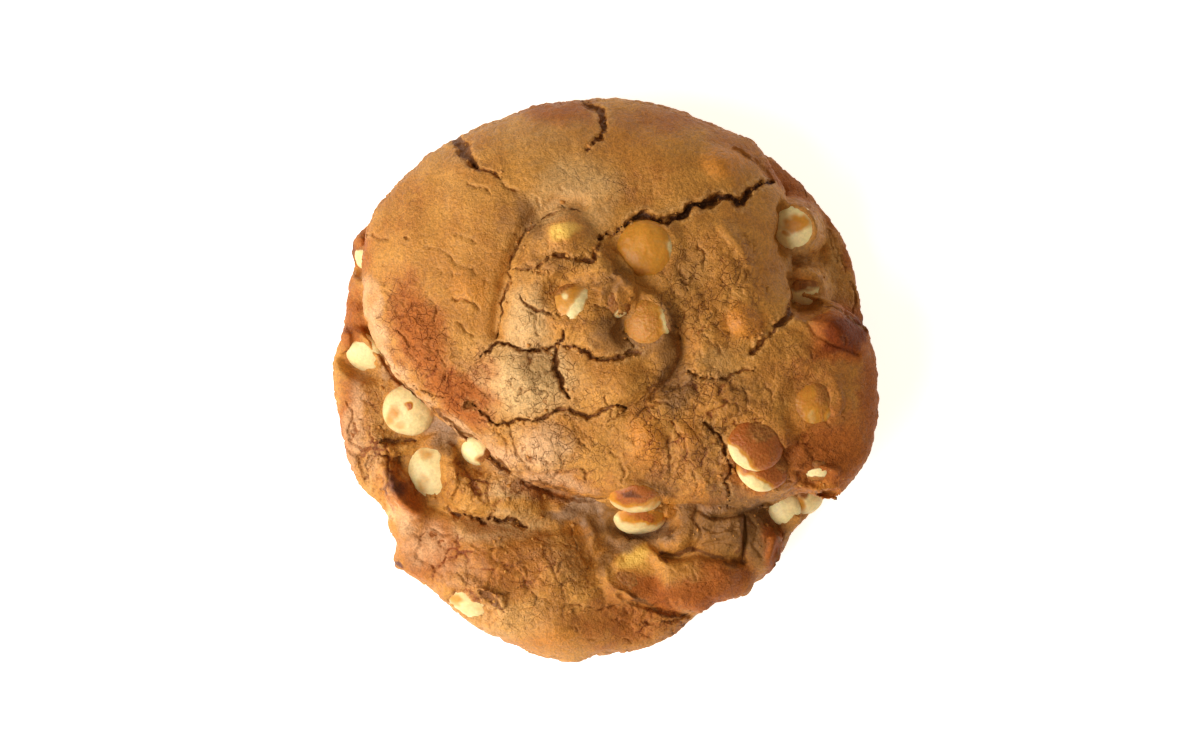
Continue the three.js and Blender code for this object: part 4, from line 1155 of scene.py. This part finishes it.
def mark_crust(piece, cracks):
    """Keeps each zone of the crust as a number at the vertices."""
    points = read_points(piece)
    normals = read_normals(piece)
    warp = 1.5 * np.column_stack([grain(points, 4, 81), grain(points, 4, 82)])
    warp += 0.6 * np.column_stack([grain(points, 1.3, 83), grain(points, 1.3, 84)])
    x, y = points[:, 0] + warp[:, 0], points[:, 1] + warp[:, 1]
    height = dough_top(points[:, 0], points[:, 1])
    top = on_top(points, height, 4)
    _, inside, edge = cracking(points, cracks)
    # painted shadow in the creases, the one under the crown's lip among them, joins the cracks'
    # dark colour
    crease_shadow = furrows(x, y, [(line, 0.7 * width, min(1, deep)) for line, width, deep in CREASES])
    inside = np.maximum(inside, 0.75 * crease_shadow)
    hollow = smooth_step(18, 15, points[:, 2])
    side = 1 - smooth_step(0.1, 0.5, normals[:, 2])
    skirt = side * smooth_step(9, 2, points[:, 2])
    underside = smooth_step(-0.5, -0.9, normals[:, 2]) * smooth_step(1, 0.2, points[:, 2])
    # toasted crust, with painted shade on spots of the right side and the front; the low sides and
    # the underside are browned
    toasted_and_shade = np.maximum(zone(x, y, TOASTED_AND_SHADE), np.maximum(0.75 * skirt, 0.85 * underside))
    store(piece, "toasted_and_shade", toasted_and_shade)
    # pale crust, with painted light on spots that lie in shade
    store(piece, "pale", zone(x, y, PALE_AND_LIT))
    store(piece, "amber", zone(x, y, AMBER) * top)
    store(piece, "glowing", zone(x, y, GLOWING) * top)
    store(piece, "sticky", zone(x, y, STICKY) * hollow)
    # painted shade in folds, grooves and hollows, in part moist dough
    store(piece, "moist_and_painted_shade", zone(x, y, MOIST_AND_PAINTED_SHADE))
    store(piece, "scorched", zone(x, y, SCORCHED))
    # painted sheen on the upper surface
    store(piece, "painted_sheen", zone(x, y, PAINTED_SHEEN) * top)
    plated = np.maximum(zone(points[:, 0], points[:, 1], PLATED) * top, 0.6 * side)
    store(piece, "gap", network(points)[1] * plated)
    store(piece, "crazed", zone(x, y, CRAZED) * top)
    store(piece, "crumbly", np.maximum(zone(x, y, CRUMBLY), 0.7 * side))
    # open cracks, and painted shadow in the creases
    store(piece, "crack", inside * top)
    store(piece, "crack_edge", edge * top)


def model_dough(settings):
    """The whole baked dough, one closed skin."""
    prepare_lumps()
    cracks = all_cracks()
    piece = fuse([model_lump(*item) for item in LUMPS.items()], settings.first_grid)
    apply_modifier(piece, "SMOOTH", factor=0.5, iterations=5)
    write_points(piece, seat(read_points(piece)))
    work_relief(piece, cracks)
    apply_modifier(piece, "REMESH", mode="VOXEL", voxel_size=settings.fine_grid, adaptivity=0)
    work_crust(piece, cracks)
    share = settings.triangles / (2 * len(piece.data.polygons))
    if share < 1:
        apply_modifier(piece, "DECIMATE", ratio=share)
    write_points(piece, seat(read_points(piece), 0.05))
    mark_crust(piece, cracks)
    pick(piece)
    bpy.ops.object.shade_smooth()
    piece.name = "baked_dough"
    return piece


# ---------------------------------------------------------------------------------------------
# Materials

SOCKETS = {
    "base_colour": "Base Color",
    "roughness": "Roughness",
    "normal": "Normal",
    "specular": "Specular IOR Level",
    "softness": "Subsurface Weight",
    "soft_reach": "Subsurface Scale",
    "glow_colour": "Emission Color",
    "glow": "Emission Strength",
}


class Finish:
    """A material, with short calls for the nodes that the finishes use."""

    def __init__(self, name):
        self.material = bpy.data.materials.new(name)
        self.material.use_nodes = True
        self.tree = self.material.node_tree
        self.surface = self.tree.nodes["Principled BSDF"]
        self.place = self.node("ShaderNodeTexCoord").outputs["Object"]

    def node(self, kind, inputs=(), **settings):
        """Adds a node, sets it up and fills or links its inputs."""
        made = self.tree.nodes.new(kind)
        for name, value in settings.items():
            setattr(made, name, value)
        for socket, value in dict(inputs).items():
            self.fill(made.inputs[socket], value)
        return made

    def fill(self, socket, value):
        """Links an output to a socket, or sets the socket's value."""
        if isinstance(value, bpy.types.NodeSocket):
            self.tree.links.new(value, socket)
        else:
            socket.default_value = value

    def noise(self, size, detail=3.0, roughness=0.5):
        """Noise from 0 to 1 with lumps of a size in millimetres."""
        inputs = {
            "Vector": self.place, "Scale": 1 / (size * MM), "Detail": detail,
            "Roughness": roughness,
        }
        return self.node("ShaderNodeTexNoise", inputs).outputs["Fac"]

    def warped(self, size, reach, place=None):
        """The place, moved about by noise."""
        place = place or self.place
        inputs = {"Vector": place, "Scale": 1 / (size * MM), "Detail": 2.0}
        shift = self.node("ShaderNodeTexNoise", inputs).outputs["Color"]
        centred = self.node(
            "ShaderNodeVectorMath", {0: shift, 1: (0.5, 0.5, 0.5)}, operation="SUBTRACT"
        ).outputs[0]
        scaled = self.node(
            "ShaderNodeVectorMath", {0: centred, "Scale": reach * MM}, operation="SCALE"
        ).outputs[0]
        return self.node("ShaderNodeVectorMath", {0: place, 1: scaled}, operation="ADD").outputs[0]

    def borders(self, size, place):
        """Distance to the borders between scattered cells, as a share of their size."""
        inputs = {"Vector": place, "Scale": 1 / (size * MM)}
        node = self.node("ShaderNodeTexVoronoi", inputs, feature="DISTANCE_TO_EDGE")
        return node.outputs["Distance"]

    def swing(self, value, reach):
        """Noise from 0 to 1 turned into a swing to both sides of 0."""
        return self.times(self.math("SUBTRACT", value, 0.5), reach)

    def mark(self, name):
        """A number kept at the vertices."""
        return self.node("ShaderNodeAttribute", attribute_name=name).outputs["Fac"]

    def steps(self, value, low, high, start=0.0, end=1.0):
        """A smooth rise from start to end as value goes from low to high."""
        inputs = {0: value, 1: low, 2: high, 3: start, 4: end}
        node = self.node("ShaderNodeMapRange", inputs, interpolation_type="SMOOTHSTEP")
        return node.outputs["Result"]

    def math(self, operation, first, second=0.0, clamp=False):
        """One sum."""
        node = self.node(
            "ShaderNodeMath", {0: first, 1: second}, operation=operation, use_clamp=clamp
        )
        return node.outputs[0]

    def times(self, *values):
        """The product of several values."""
        product = values[0]
        for value in values[1:]:
            product = self.math("MULTIPLY", product, value)
        return product

    def mix(self, share, first, second, blend="MIX"):
        """A colour between two others."""
        node = self.node("ShaderNodeMix", data_type="RGBA", blend_type=blend, clamp_factor=True)
        self.fill(node.inputs[0], share)
        self.fill(node.inputs[6], first)
        self.fill(node.inputs[7], second)
        return node.outputs[2]

    def darken(self, share, shade, tint):
        """A colour multiplied by a tint, as far as the share says."""
        return self.mix(share, shade, self.mix(1.0, shade, solid(tint), "MULTIPLY"))

    def mottle(self, shade, factor):
        """A colour made darker and lighter by a factor."""
        grey = self.node("ShaderNodeCombineColor", {0: factor, 1: factor, 2: factor}).outputs[0]
        return self.mix(1.0, shade, grey, "MULTIPLY")

    def bump(self, height, depth, normal=None):
        """Fine relief of that depth in millimetres."""
        node = self.node("ShaderNodeBump", {"Height": height, "Distance": depth * MM})
        if normal is not None:
            self.fill(node.inputs["Normal"], normal)
        return node.outputs["Normal"]

    def paint(self, **values):
        """Fills the surface's sockets."""
        for name, value in values.items():
            self.fill(self.surface.inputs[SOCKETS[name]], value)


def solid(value):
    """A colour with full opacity."""
    return (*value, 1.0)


def crust_finish(settings):
    """Baked crust with browned, pale, amber, sticky and scorched zones and fine crazing; the
    browned zones are partly painted shade, the pale zones partly painted light, the moist zone
    mostly painted shade, the sheen zone a painted highlight, and the cracks and creases are
    darkened as painted shade.
    """
    finish = Finish("baked_crust")
    broad = finish.noise(6, 4)
    fibre = finish.noise(1.7, 4)
    fleck = finish.noise(0.75, 3, roughness=0.65)
    speck = finish.noise(0.36, 2, roughness=0.6)
    lighter = finish.steps(broad, 0.36, 0.64)
    shade = finish.mix(lighter, solid(settings.crust), solid(settings.golden))

    def patch(shade, name, target, low, high, ragged=0.5):
        """Turns a zone's colour to the target, with a ragged border."""
        strength = finish.math("ADD", finish.mark(name), finish.swing(fibre, ragged))
        return finish.mix(finish.steps(strength, low, high), shade, solid(target))

    # pale crust, partly painted light
    shade = patch(shade, "pale", settings.pale, 0.05, 1.0)
    # painted shade in folds, grooves and hollows, in part moist dough
    shade = patch(shade, "moist_and_painted_shade", settings.moist_and_painted_shade, 0.1, 0.9)
    # toasted crust, partly painted shade, in two steps
    shade = patch(shade, "toasted_and_shade", settings.toasted_and_shade, 0.12, 0.95, 0.55)
    shade = patch(shade, "toasted_and_shade", settings.dark_toast_and_shade, 0.9, 1.45, 0.4)
    # painted sheen on the slopes that face the light
    shade = patch(shade, "painted_sheen", settings.painted_sheen, 0.1, 1.1, 0.6)
    shade = patch(shade, "amber", settings.amber, 0.15, 0.95, 0.3)
    shade = patch(shade, "sticky", settings.sticky, 0.2, 0.8, 0.3)
    shade = patch(shade, "scorched", settings.scorched, 0.25, 0.95, 0.3)

    crazed = finish.mark("crazed")
    place = finish.warped(0.55, 0.3, finish.warped(2.6, 0.8))
    gaps = finish.steps(finish.noise(3.4, 2), 0.42, 0.6)
    wide_lines = finish.times(finish.steps(finish.borders(2.1, place), 0.0, 0.045, 1.0, 0.0), gaps)
    fine_gaps = finish.steps(finish.noise(1.7, 2), 0.46, 0.62)
    fine_lines = finish.times(
        finish.steps(finish.borders(0.95, place), 0.0, 0.08, 1.0, 0.0), fine_gaps, 0.7
    )
    lines = finish.math("MAXIMUM", wide_lines, fine_lines)
    whole = finish.steps(finish.mark("glowing"), 0.1, 0.5, 1.0, 0.0)
    lines = finish.times(lines, finish.steps(crazed, 0.1, 0.8), whole)
    shade = finish.darken(finish.times(lines, 0.8), shade, (0.66, 0.46, 0.3))
    split = finish.math("ADD", finish.mark("gap"), finish.swing(fleck, 0.7))
    split = finish.times(finish.steps(split, 0.25, 0.7), whole)
    shade = finish.darken(split, shade, (0.5, 0.32, 0.17))

    crumbly = finish.mark("crumbly")
    pits = finish.times(finish.steps(finish.noise(1.3, 3), 0.52, 0.66), crumbly, whole, 0.55)
    shade = finish.darken(pits, shade, (0.5, 0.36, 0.22))
    pale_edge = finish.times(finish.mark("crack_edge"), finish.steps(fleck, 0.35, 0.6), 0.4)
    shade = finish.mix(pale_edge, shade, solid(settings.pale))
    # The cracks' brown crumb is darkened as painted shade, and their deepest parts and the creases
    # turn nearly black as painted shadow
    crack_and_shade = finish.math("ADD", finish.mark("crack"), finish.swing(fleck, 0.7))
    shade = finish.mix(finish.steps(crack_and_shade, 0.2, 0.6), shade, solid(settings.crack))
    shade = finish.mix(finish.steps(crack_and_shade, 0.68, 1.1), shade, solid(settings.painted_pit_shade))
    flecks = finish.steps(finish.math("ADD", fleck, speck), 0.72, 1.28, 0.78, 1.19)
    shade = finish.mottle(shade, flecks)
    shade = patch(shade, "glowing", settings.glowing, 0.15, 1.1, 0.3)

    rough = finish.steps(fleck, 0.3, 0.7, 0.48, 0.66)
    rough = finish.math("SUBTRACT", rough, finish.times(finish.mark("amber"), 0.12))
    rough = finish.math("SUBTRACT", rough, finish.times(finish.mark("sticky"), 0.28), clamp=True)

    sand = finish.bump(speck, 0.14)
    sand = finish.bump(fleck, 0.28, sand)
    sand = finish.bump(finish.times(finish.noise(1.3, 3), crumbly), 0.6, sand)
    crust = finish.bump(finish.math("SUBTRACT", 1.0, lines), 0.18, sand)
    sheen = finish.steps(finish.mark("toasted_and_shade"), 0.3, 1.1, 0.3, 0.1)
    finish.paint(base_colour=shade, roughness=rough, normal=crust, specular=sheen)
    return finish.material


def crumb_finish(settings):
    """Loose crumbs of baked dough."""
    finish = Finish("loose_crumb")
    tone = finish.noise(2.2, 2)
    lighter = finish.steps(tone, 0.35, 0.65)
    shade = finish.mix(lighter, solid(settings.crust), solid(settings.golden))
    fleck = finish.noise(0.3, 3)
    normal = finish.bump(fleck, 0.12)
    rough = finish.steps(fleck, 0.3, 0.7, 0.6, 0.8)
    finish.paint(base_colour=shade, roughness=rough, normal=normal)
    return finish.material


def chocolate_finish(settings, name):
    """White chocolate from cream to burnt, with dough film on it."""
    finish = Finish(name)
    cloud = finish.noise(2.2, 3)
    fleck = finish.noise(0.55, 3)
    wander = finish.swing(cloud, 0.4)
    heat = finish.math("ADD", finish.mark("browned"), wander)
    # whiter cream, partly painted light on buttons that lie in shade
    cream = finish.mix(finish.mark("fresh_and_lit"), solid(settings.cream), solid(settings.fresh_and_lit))
    shade = finish.mix(finish.steps(heat, 0.1, 0.5), cream, solid(settings.amber))
    shade = finish.mix(finish.steps(heat, 0.5, 0.92), shade, solid(settings.brown))
    shade = finish.mix(finish.steps(heat, 1.0, 1.5), shade, solid(settings.burnt))
    cover = finish.math("ADD", finish.mark("filmed"), finish.times(wander, 0.8))
    cover = finish.steps(cover, 0.3, 0.72)
    crust = finish.mix(1.0, solid(settings.film), (0.7, 0.62, 0.5, 1.0), "MULTIPLY")
    crust = finish.mix(finish.steps(finish.noise(1.1, 4), 0.4, 0.6), crust, solid(settings.film))
    shade = finish.mix(cover, shade, crust)
    shade = finish.mottle(shade, finish.steps(fleck, 0.3, 0.7, 0.9, 1.07))
    rough = finish.math("ADD", finish.steps(fleck, 0.3, 0.7, 0.34, 0.46), finish.times(cover, 0.16))
    baked = finish.math("MAXIMUM", cover, finish.steps(heat, 0.5, 1.0, 0.0, 0.7))
    grit = finish.times(fleck, finish.math("ADD", finish.times(baked, 0.85), 0.15))
    normal = finish.bump(cloud, 0.16, finish.bump(grit, 0.3))
    finish.paint(
        base_colour=shade, roughness=rough, normal=normal, specular=0.3,
        softness=0.2, soft_reach=SCATTER * MM,
    )
    return finish.material


# ---------------------------------------------------------------------------------------------
# Buttons and crumbs

def turned_profile(radius, thickness):
    """A button turned from its profile, at the origin. The sizes are millimetres."""
    profile = [(r * radius * MM, 0, z * thickness / 2 * MM) for r, z in BUTTON_PROFILE]
    mesh = bpy.data.meshes.new("button")
    mesh.from_pydata(profile, [(i, i + 1) for i in range(len(profile) - 1)], [])
    piece = bpy.data.objects.new("button", mesh)
    bpy.context.collection.objects.link(piece)
    pick(piece)
    bpy.ops.object.mode_set(mode="EDIT")
    bpy.ops.mesh.select_all(action="SELECT")
    bpy.ops.mesh.spin(steps=BUTTON_STEPS, angle=2 * math.pi, center=(0, 0, 0), axis=(0, 0, 1))
    bpy.ops.mesh.select_all(action="SELECT")
    bpy.ops.mesh.remove_doubles(threshold=1e-6)
    bpy.ops.mesh.normals_make_consistent(inside=False)
    bpy.ops.object.mode_set(mode="OBJECT")
    apply_modifier(piece, "SUBSURF", levels=2, render_levels=2)
    return piece


def model_button(name, button, settings, seed):
    """One button in its place, uneven as moulded chocolate that has softened in the oven."""
    radius, thickness = button_size(button)
    piece = turned_profile(radius, thickness)
    points = read_points(piece)
    normals = read_normals(piece)
    own = points + 40.0 * seed
    dent = 0.18 * grain(own, 2.8, 91) + 0.06 * grain(own, 1.0, 92)
    points = points + normals * dent[:, None]
    heading = math.radians(button["faces"])
    hinge = Vector((-math.sin(heading), math.cos(heading), 0))
    lean = Matrix.Rotation(math.radians(button["lean"]), 3, hinge)
    points = points @ np.array(lean).T
    x = points[:, 0] + 0.45 * grain(own, 1.7, 93) + 0.25 * grain(own, 0.8, 95)
    y = points[:, 1] + 0.45 * grain(own, 1.7, 94) + 0.25 * grain(own, 0.8, 96)
    bare = 1 - np.clip(zone(x, y, button.get("bare", [])), 0, 1)
    clear = 1 - np.clip(zone(x, y, button.get("clear", [])), 0, 1)
    browned = np.maximum(button.get("toast", 0) * bare, zone(x, y, button.get("browned", [])))
    filmed = np.maximum(button.get("film", 0) * bare * clear, zone(x, y, button.get("filmed", [])))
    # whiter cream, partly painted light on buttons that lie in shade
    store(piece, "fresh_and_lit", np.full(len(points), button.get("white", 0)))
    store(piece, "browned", browned)
    store(piece, "filmed", filmed)
    write_points(piece, points + np.array(button_place(name, button)))
    pick(piece)
    bpy.ops.object.shade_smooth()
    piece.name = "white_chocolate_" + name
    return piece


def crumb_places(surface, settings, random):
    """Where crumbs lie: beside the open cracks and over the crumbly zones."""
    places = []
    for line, width, _ in CRACKS:
        corners = np.array(line)
        runs = np.hypot(*(corners[1:] - corners[:-1]).T)
        for _ in range(int(runs.sum() / 10 * settings.along_cracks)):
            i = random.choice(len(runs), p=runs / runs.sum())
            spot = corners[i] + random.random() * (corners[i + 1] - corners[i])
            places.append(spot + random.normal(0, 0.45 * width + 0.25, 2))
    wanted = len(places) + settings.scattered
    while len(places) < wanted:
        spot = random.uniform(-50, 50, 2)
        if random.random() < zone(spot[:1], spot[1:], CRUMBLY)[0] ** 2:
            places.append(spot)
    for spot in places:
        above = Vector((spot[0] * MM, spot[1] * MM, DROP_HEIGHT * MM))
        place, normal, _, _ = surface.ray_cast(above, Vector((0, 0, -1)))
        if place is not None and normal.z > SLOPE_LIMIT:
            yield np.array(place) / MM


def model_crumbs(dough, settings):
    """All loose crumbs as one piece, each a small rough stone of dough half sunk in."""
    random = np.random.default_rng(733)
    bpy.ops.object.select_all(action="DESELECT")
    bpy.ops.mesh.primitive_ico_sphere_add(subdivisions=2, radius=MM)
    pattern = bpy.context.object
    ball = read_points(pattern)
    faces = np.array([p.vertices for p in pattern.data.polygons])
    bpy.data.objects.remove(pattern)
    surface = BVHTree.FromObject(dough, bpy.context.evaluated_depsgraph_get())
    points = []
    triangles = []
    for count, spot in enumerate(crumb_places(surface, settings, random)):
        span = settings.largest / MM - settings.smallest / MM
        radius = settings.smallest / MM + span * random.random() ** 2.6
        stretch = random.uniform(0.7, 1.3, 3)
        rough = 1 + 0.55 * grain(ball * 1.9 + 13.0 * count, 1.0, 95)
        turn, _ = np.linalg.qr(random.normal(size=(3, 3)))
        if np.linalg.det(turn) < 0:
            turn[:, 0] *= -1
        points.append(((ball * rough[:, None]) * stretch) @ turn.T * radius + spot)
        triangles.append(faces + len(ball) * count)
    mesh = bpy.data.meshes.new("loose_crumbs")
    mesh.from_pydata((np.vstack(points) * MM).tolist(), [], np.vstack(triangles).tolist())
    piece = bpy.data.objects.new("loose_crumbs", mesh)
    bpy.context.collection.objects.link(piece)
    pick(piece)
    bpy.ops.object.shade_smooth()
    return piece


# ---------------------------------------------------------------------------------------------
# Operators

def slot_of(node):
    """The record's material slot of a node."""
    return next(p["material_slot"] for p in frame["record"]["subparts"] if p["node"] == node)


class COOKIE_OT_dough(Operator):
    """Models the baked dough with its cracks and its crust"""
    bl_idname = "cookie.dough"
    bl_label = "Baked dough"

    def execute(self, context):
        settings = context.scene.cookie_dough
        piece = model_dough(settings)
        piece.data.materials.clear()
        piece.data.materials.append(crust_finish(settings))
        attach(piece, "root")
        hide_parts("dough")
        return {"FINISHED"}


class COOKIE_OT_buttons(Operator):
    """Models the white chocolate buttons that show"""
    bl_idname = "cookie.buttons"
    bl_label = "White chocolate buttons"

    def execute(self, context):
        settings = context.scene.cookie_button
        slots = sorted({slot_of("button_" + name) for name in BUTTONS})
        finishes = {slot: chocolate_finish(settings, slot) for slot in slots}
        for seed, (name, button) in enumerate(BUTTONS.items()):
            piece = model_button(name, button, settings, seed)
            node = "button_" + name
            piece.data.materials.append(finishes[slot_of(node)])
            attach(piece, "root")
            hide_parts(node)
        return {"FINISHED"}


class COOKIE_OT_crumbs(Operator):
    """Scatters loose crumbs along the cracks and over the crumbly dough"""
    bl_idname = "cookie.crumbs"
    bl_label = "Loose crumbs"

    def execute(self, context):
        piece = model_crumbs(bpy.data.objects["baked_dough"], context.scene.cookie_crumb)
        piece.data.materials.append(crumb_finish(context.scene.cookie_dough))
        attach(piece, "root")
        return {"FINISHED"}


class COOKIE_OT_stage(Operator):
    """Sets the pale floor, the soft light and the camera"""
    bl_idname = "cookie.stage"
    bl_label = "Floor, light and camera"

    def execute(self, context):
        settings = context.scene.cookie_stage
        bpy.ops.object.select_all(action="DESELECT")
        bpy.ops.mesh.primitive_plane_add(size=FLOOR_SIZE, location=(0, 0, -0.1 * MM))
        floor = context.object
        floor.name = "floor"
        finish = Finish("pale_floor")
        finish.paint(
            base_colour=solid(settings.floor), roughness=0.9, specular=0.2,
            glow_colour=solid(FLOOR_TINT), glow=settings.floor_glow,
        )
        floor.data.materials.append(finish.material)

        world = bpy.data.worlds.new("studio")
        world.use_nodes = True
        background = world.node_tree.nodes["Background"]
        background.inputs["Color"].default_value = solid(SKY_TINT)
        background.inputs["Strength"].default_value = settings.sky
        context.scene.world = world

        bpy.ops.object.light_add(type="AREA", location=KEY_PLACE)
        key = context.object
        key.name = "main_light"
        key.data.energy = settings.key_power
        key.data.shape = "DISK"
        key.data.size = KEY_SIZE
        key.rotation_euler = (-Vector(KEY_PLACE)).to_track_quat("-Z", "Y").to_euler()

        bpy.ops.object.camera_add(
            location=(FRAME_MIDDLE[0] * MM, FRAME_MIDDLE[1] * MM, settings.camera_height)
        )
        camera = context.object
        camera.name = "camera"
        camera.data.sensor_width = SENSOR
        distance = settings.camera_height / MM - FRAME_LEVEL
        camera.data.lens = SENSOR * distance / FRAME_WIDTH
        context.scene.camera = camera
        context.scene.view_settings.view_transform = "Standard"
        return {"FINISHED"}


class COOKIE_PT_panel(Panel):
    """Lists the cookie's pieces and their settings"""
    bl_label = "Cookie"
    bl_idname = "COOKIE_PT_panel"
    bl_space_type = "VIEW_3D"
    bl_region_type = "UI"
    bl_category = "Cookie"

    def draw(self, context):
        for operator, group in STEPS:
            box = self.layout.box()
            box.operator(operator.bl_idname)
            settings = getattr(context.scene, group)
            for name in settings.__annotations__:
                box.prop(settings, name)


STEPS = [
    (COOKIE_OT_dough, "cookie_dough"),
    (COOKIE_OT_buttons, "cookie_button"),
    (COOKIE_OT_crumbs, "cookie_crumb"),
    (COOKIE_OT_stage, "cookie_stage"),
]
GROUPS = {
    "cookie_dough": DoughSettings,
    "cookie_button": ButtonSettings,
    "cookie_crumb": CrumbSettings,
    "cookie_stage": StageSettings,
}


def register():
    """Registers the settings, the operators and the panel."""
    for name, group in GROUPS.items():
        bpy.utils.register_class(group)
        setattr(bpy.types.Scene, name, PointerProperty(type=group))
    for operator, _ in STEPS:
        bpy.utils.register_class(operator)
    bpy.utils.register_class(COOKIE_PT_panel)


def unregister():
    """Takes them all away again."""
    bpy.utils.unregister_class(COOKIE_PT_panel)
    for operator, _ in STEPS:
        bpy.utils.unregister_class(operator)
    for name, group in GROUPS.items():
        delattr(bpy.types.Scene, name)
        bpy.utils.unregister_class(group)


def main():
    """Makes the whole scene."""
    register()
    bpy.ops.cookie.dough()
    bpy.ops.cookie.buttons()
    bpy.ops.cookie.crumbs()
    bpy.ops.cookie.stage()


if __name__ == "__main__":
    main()
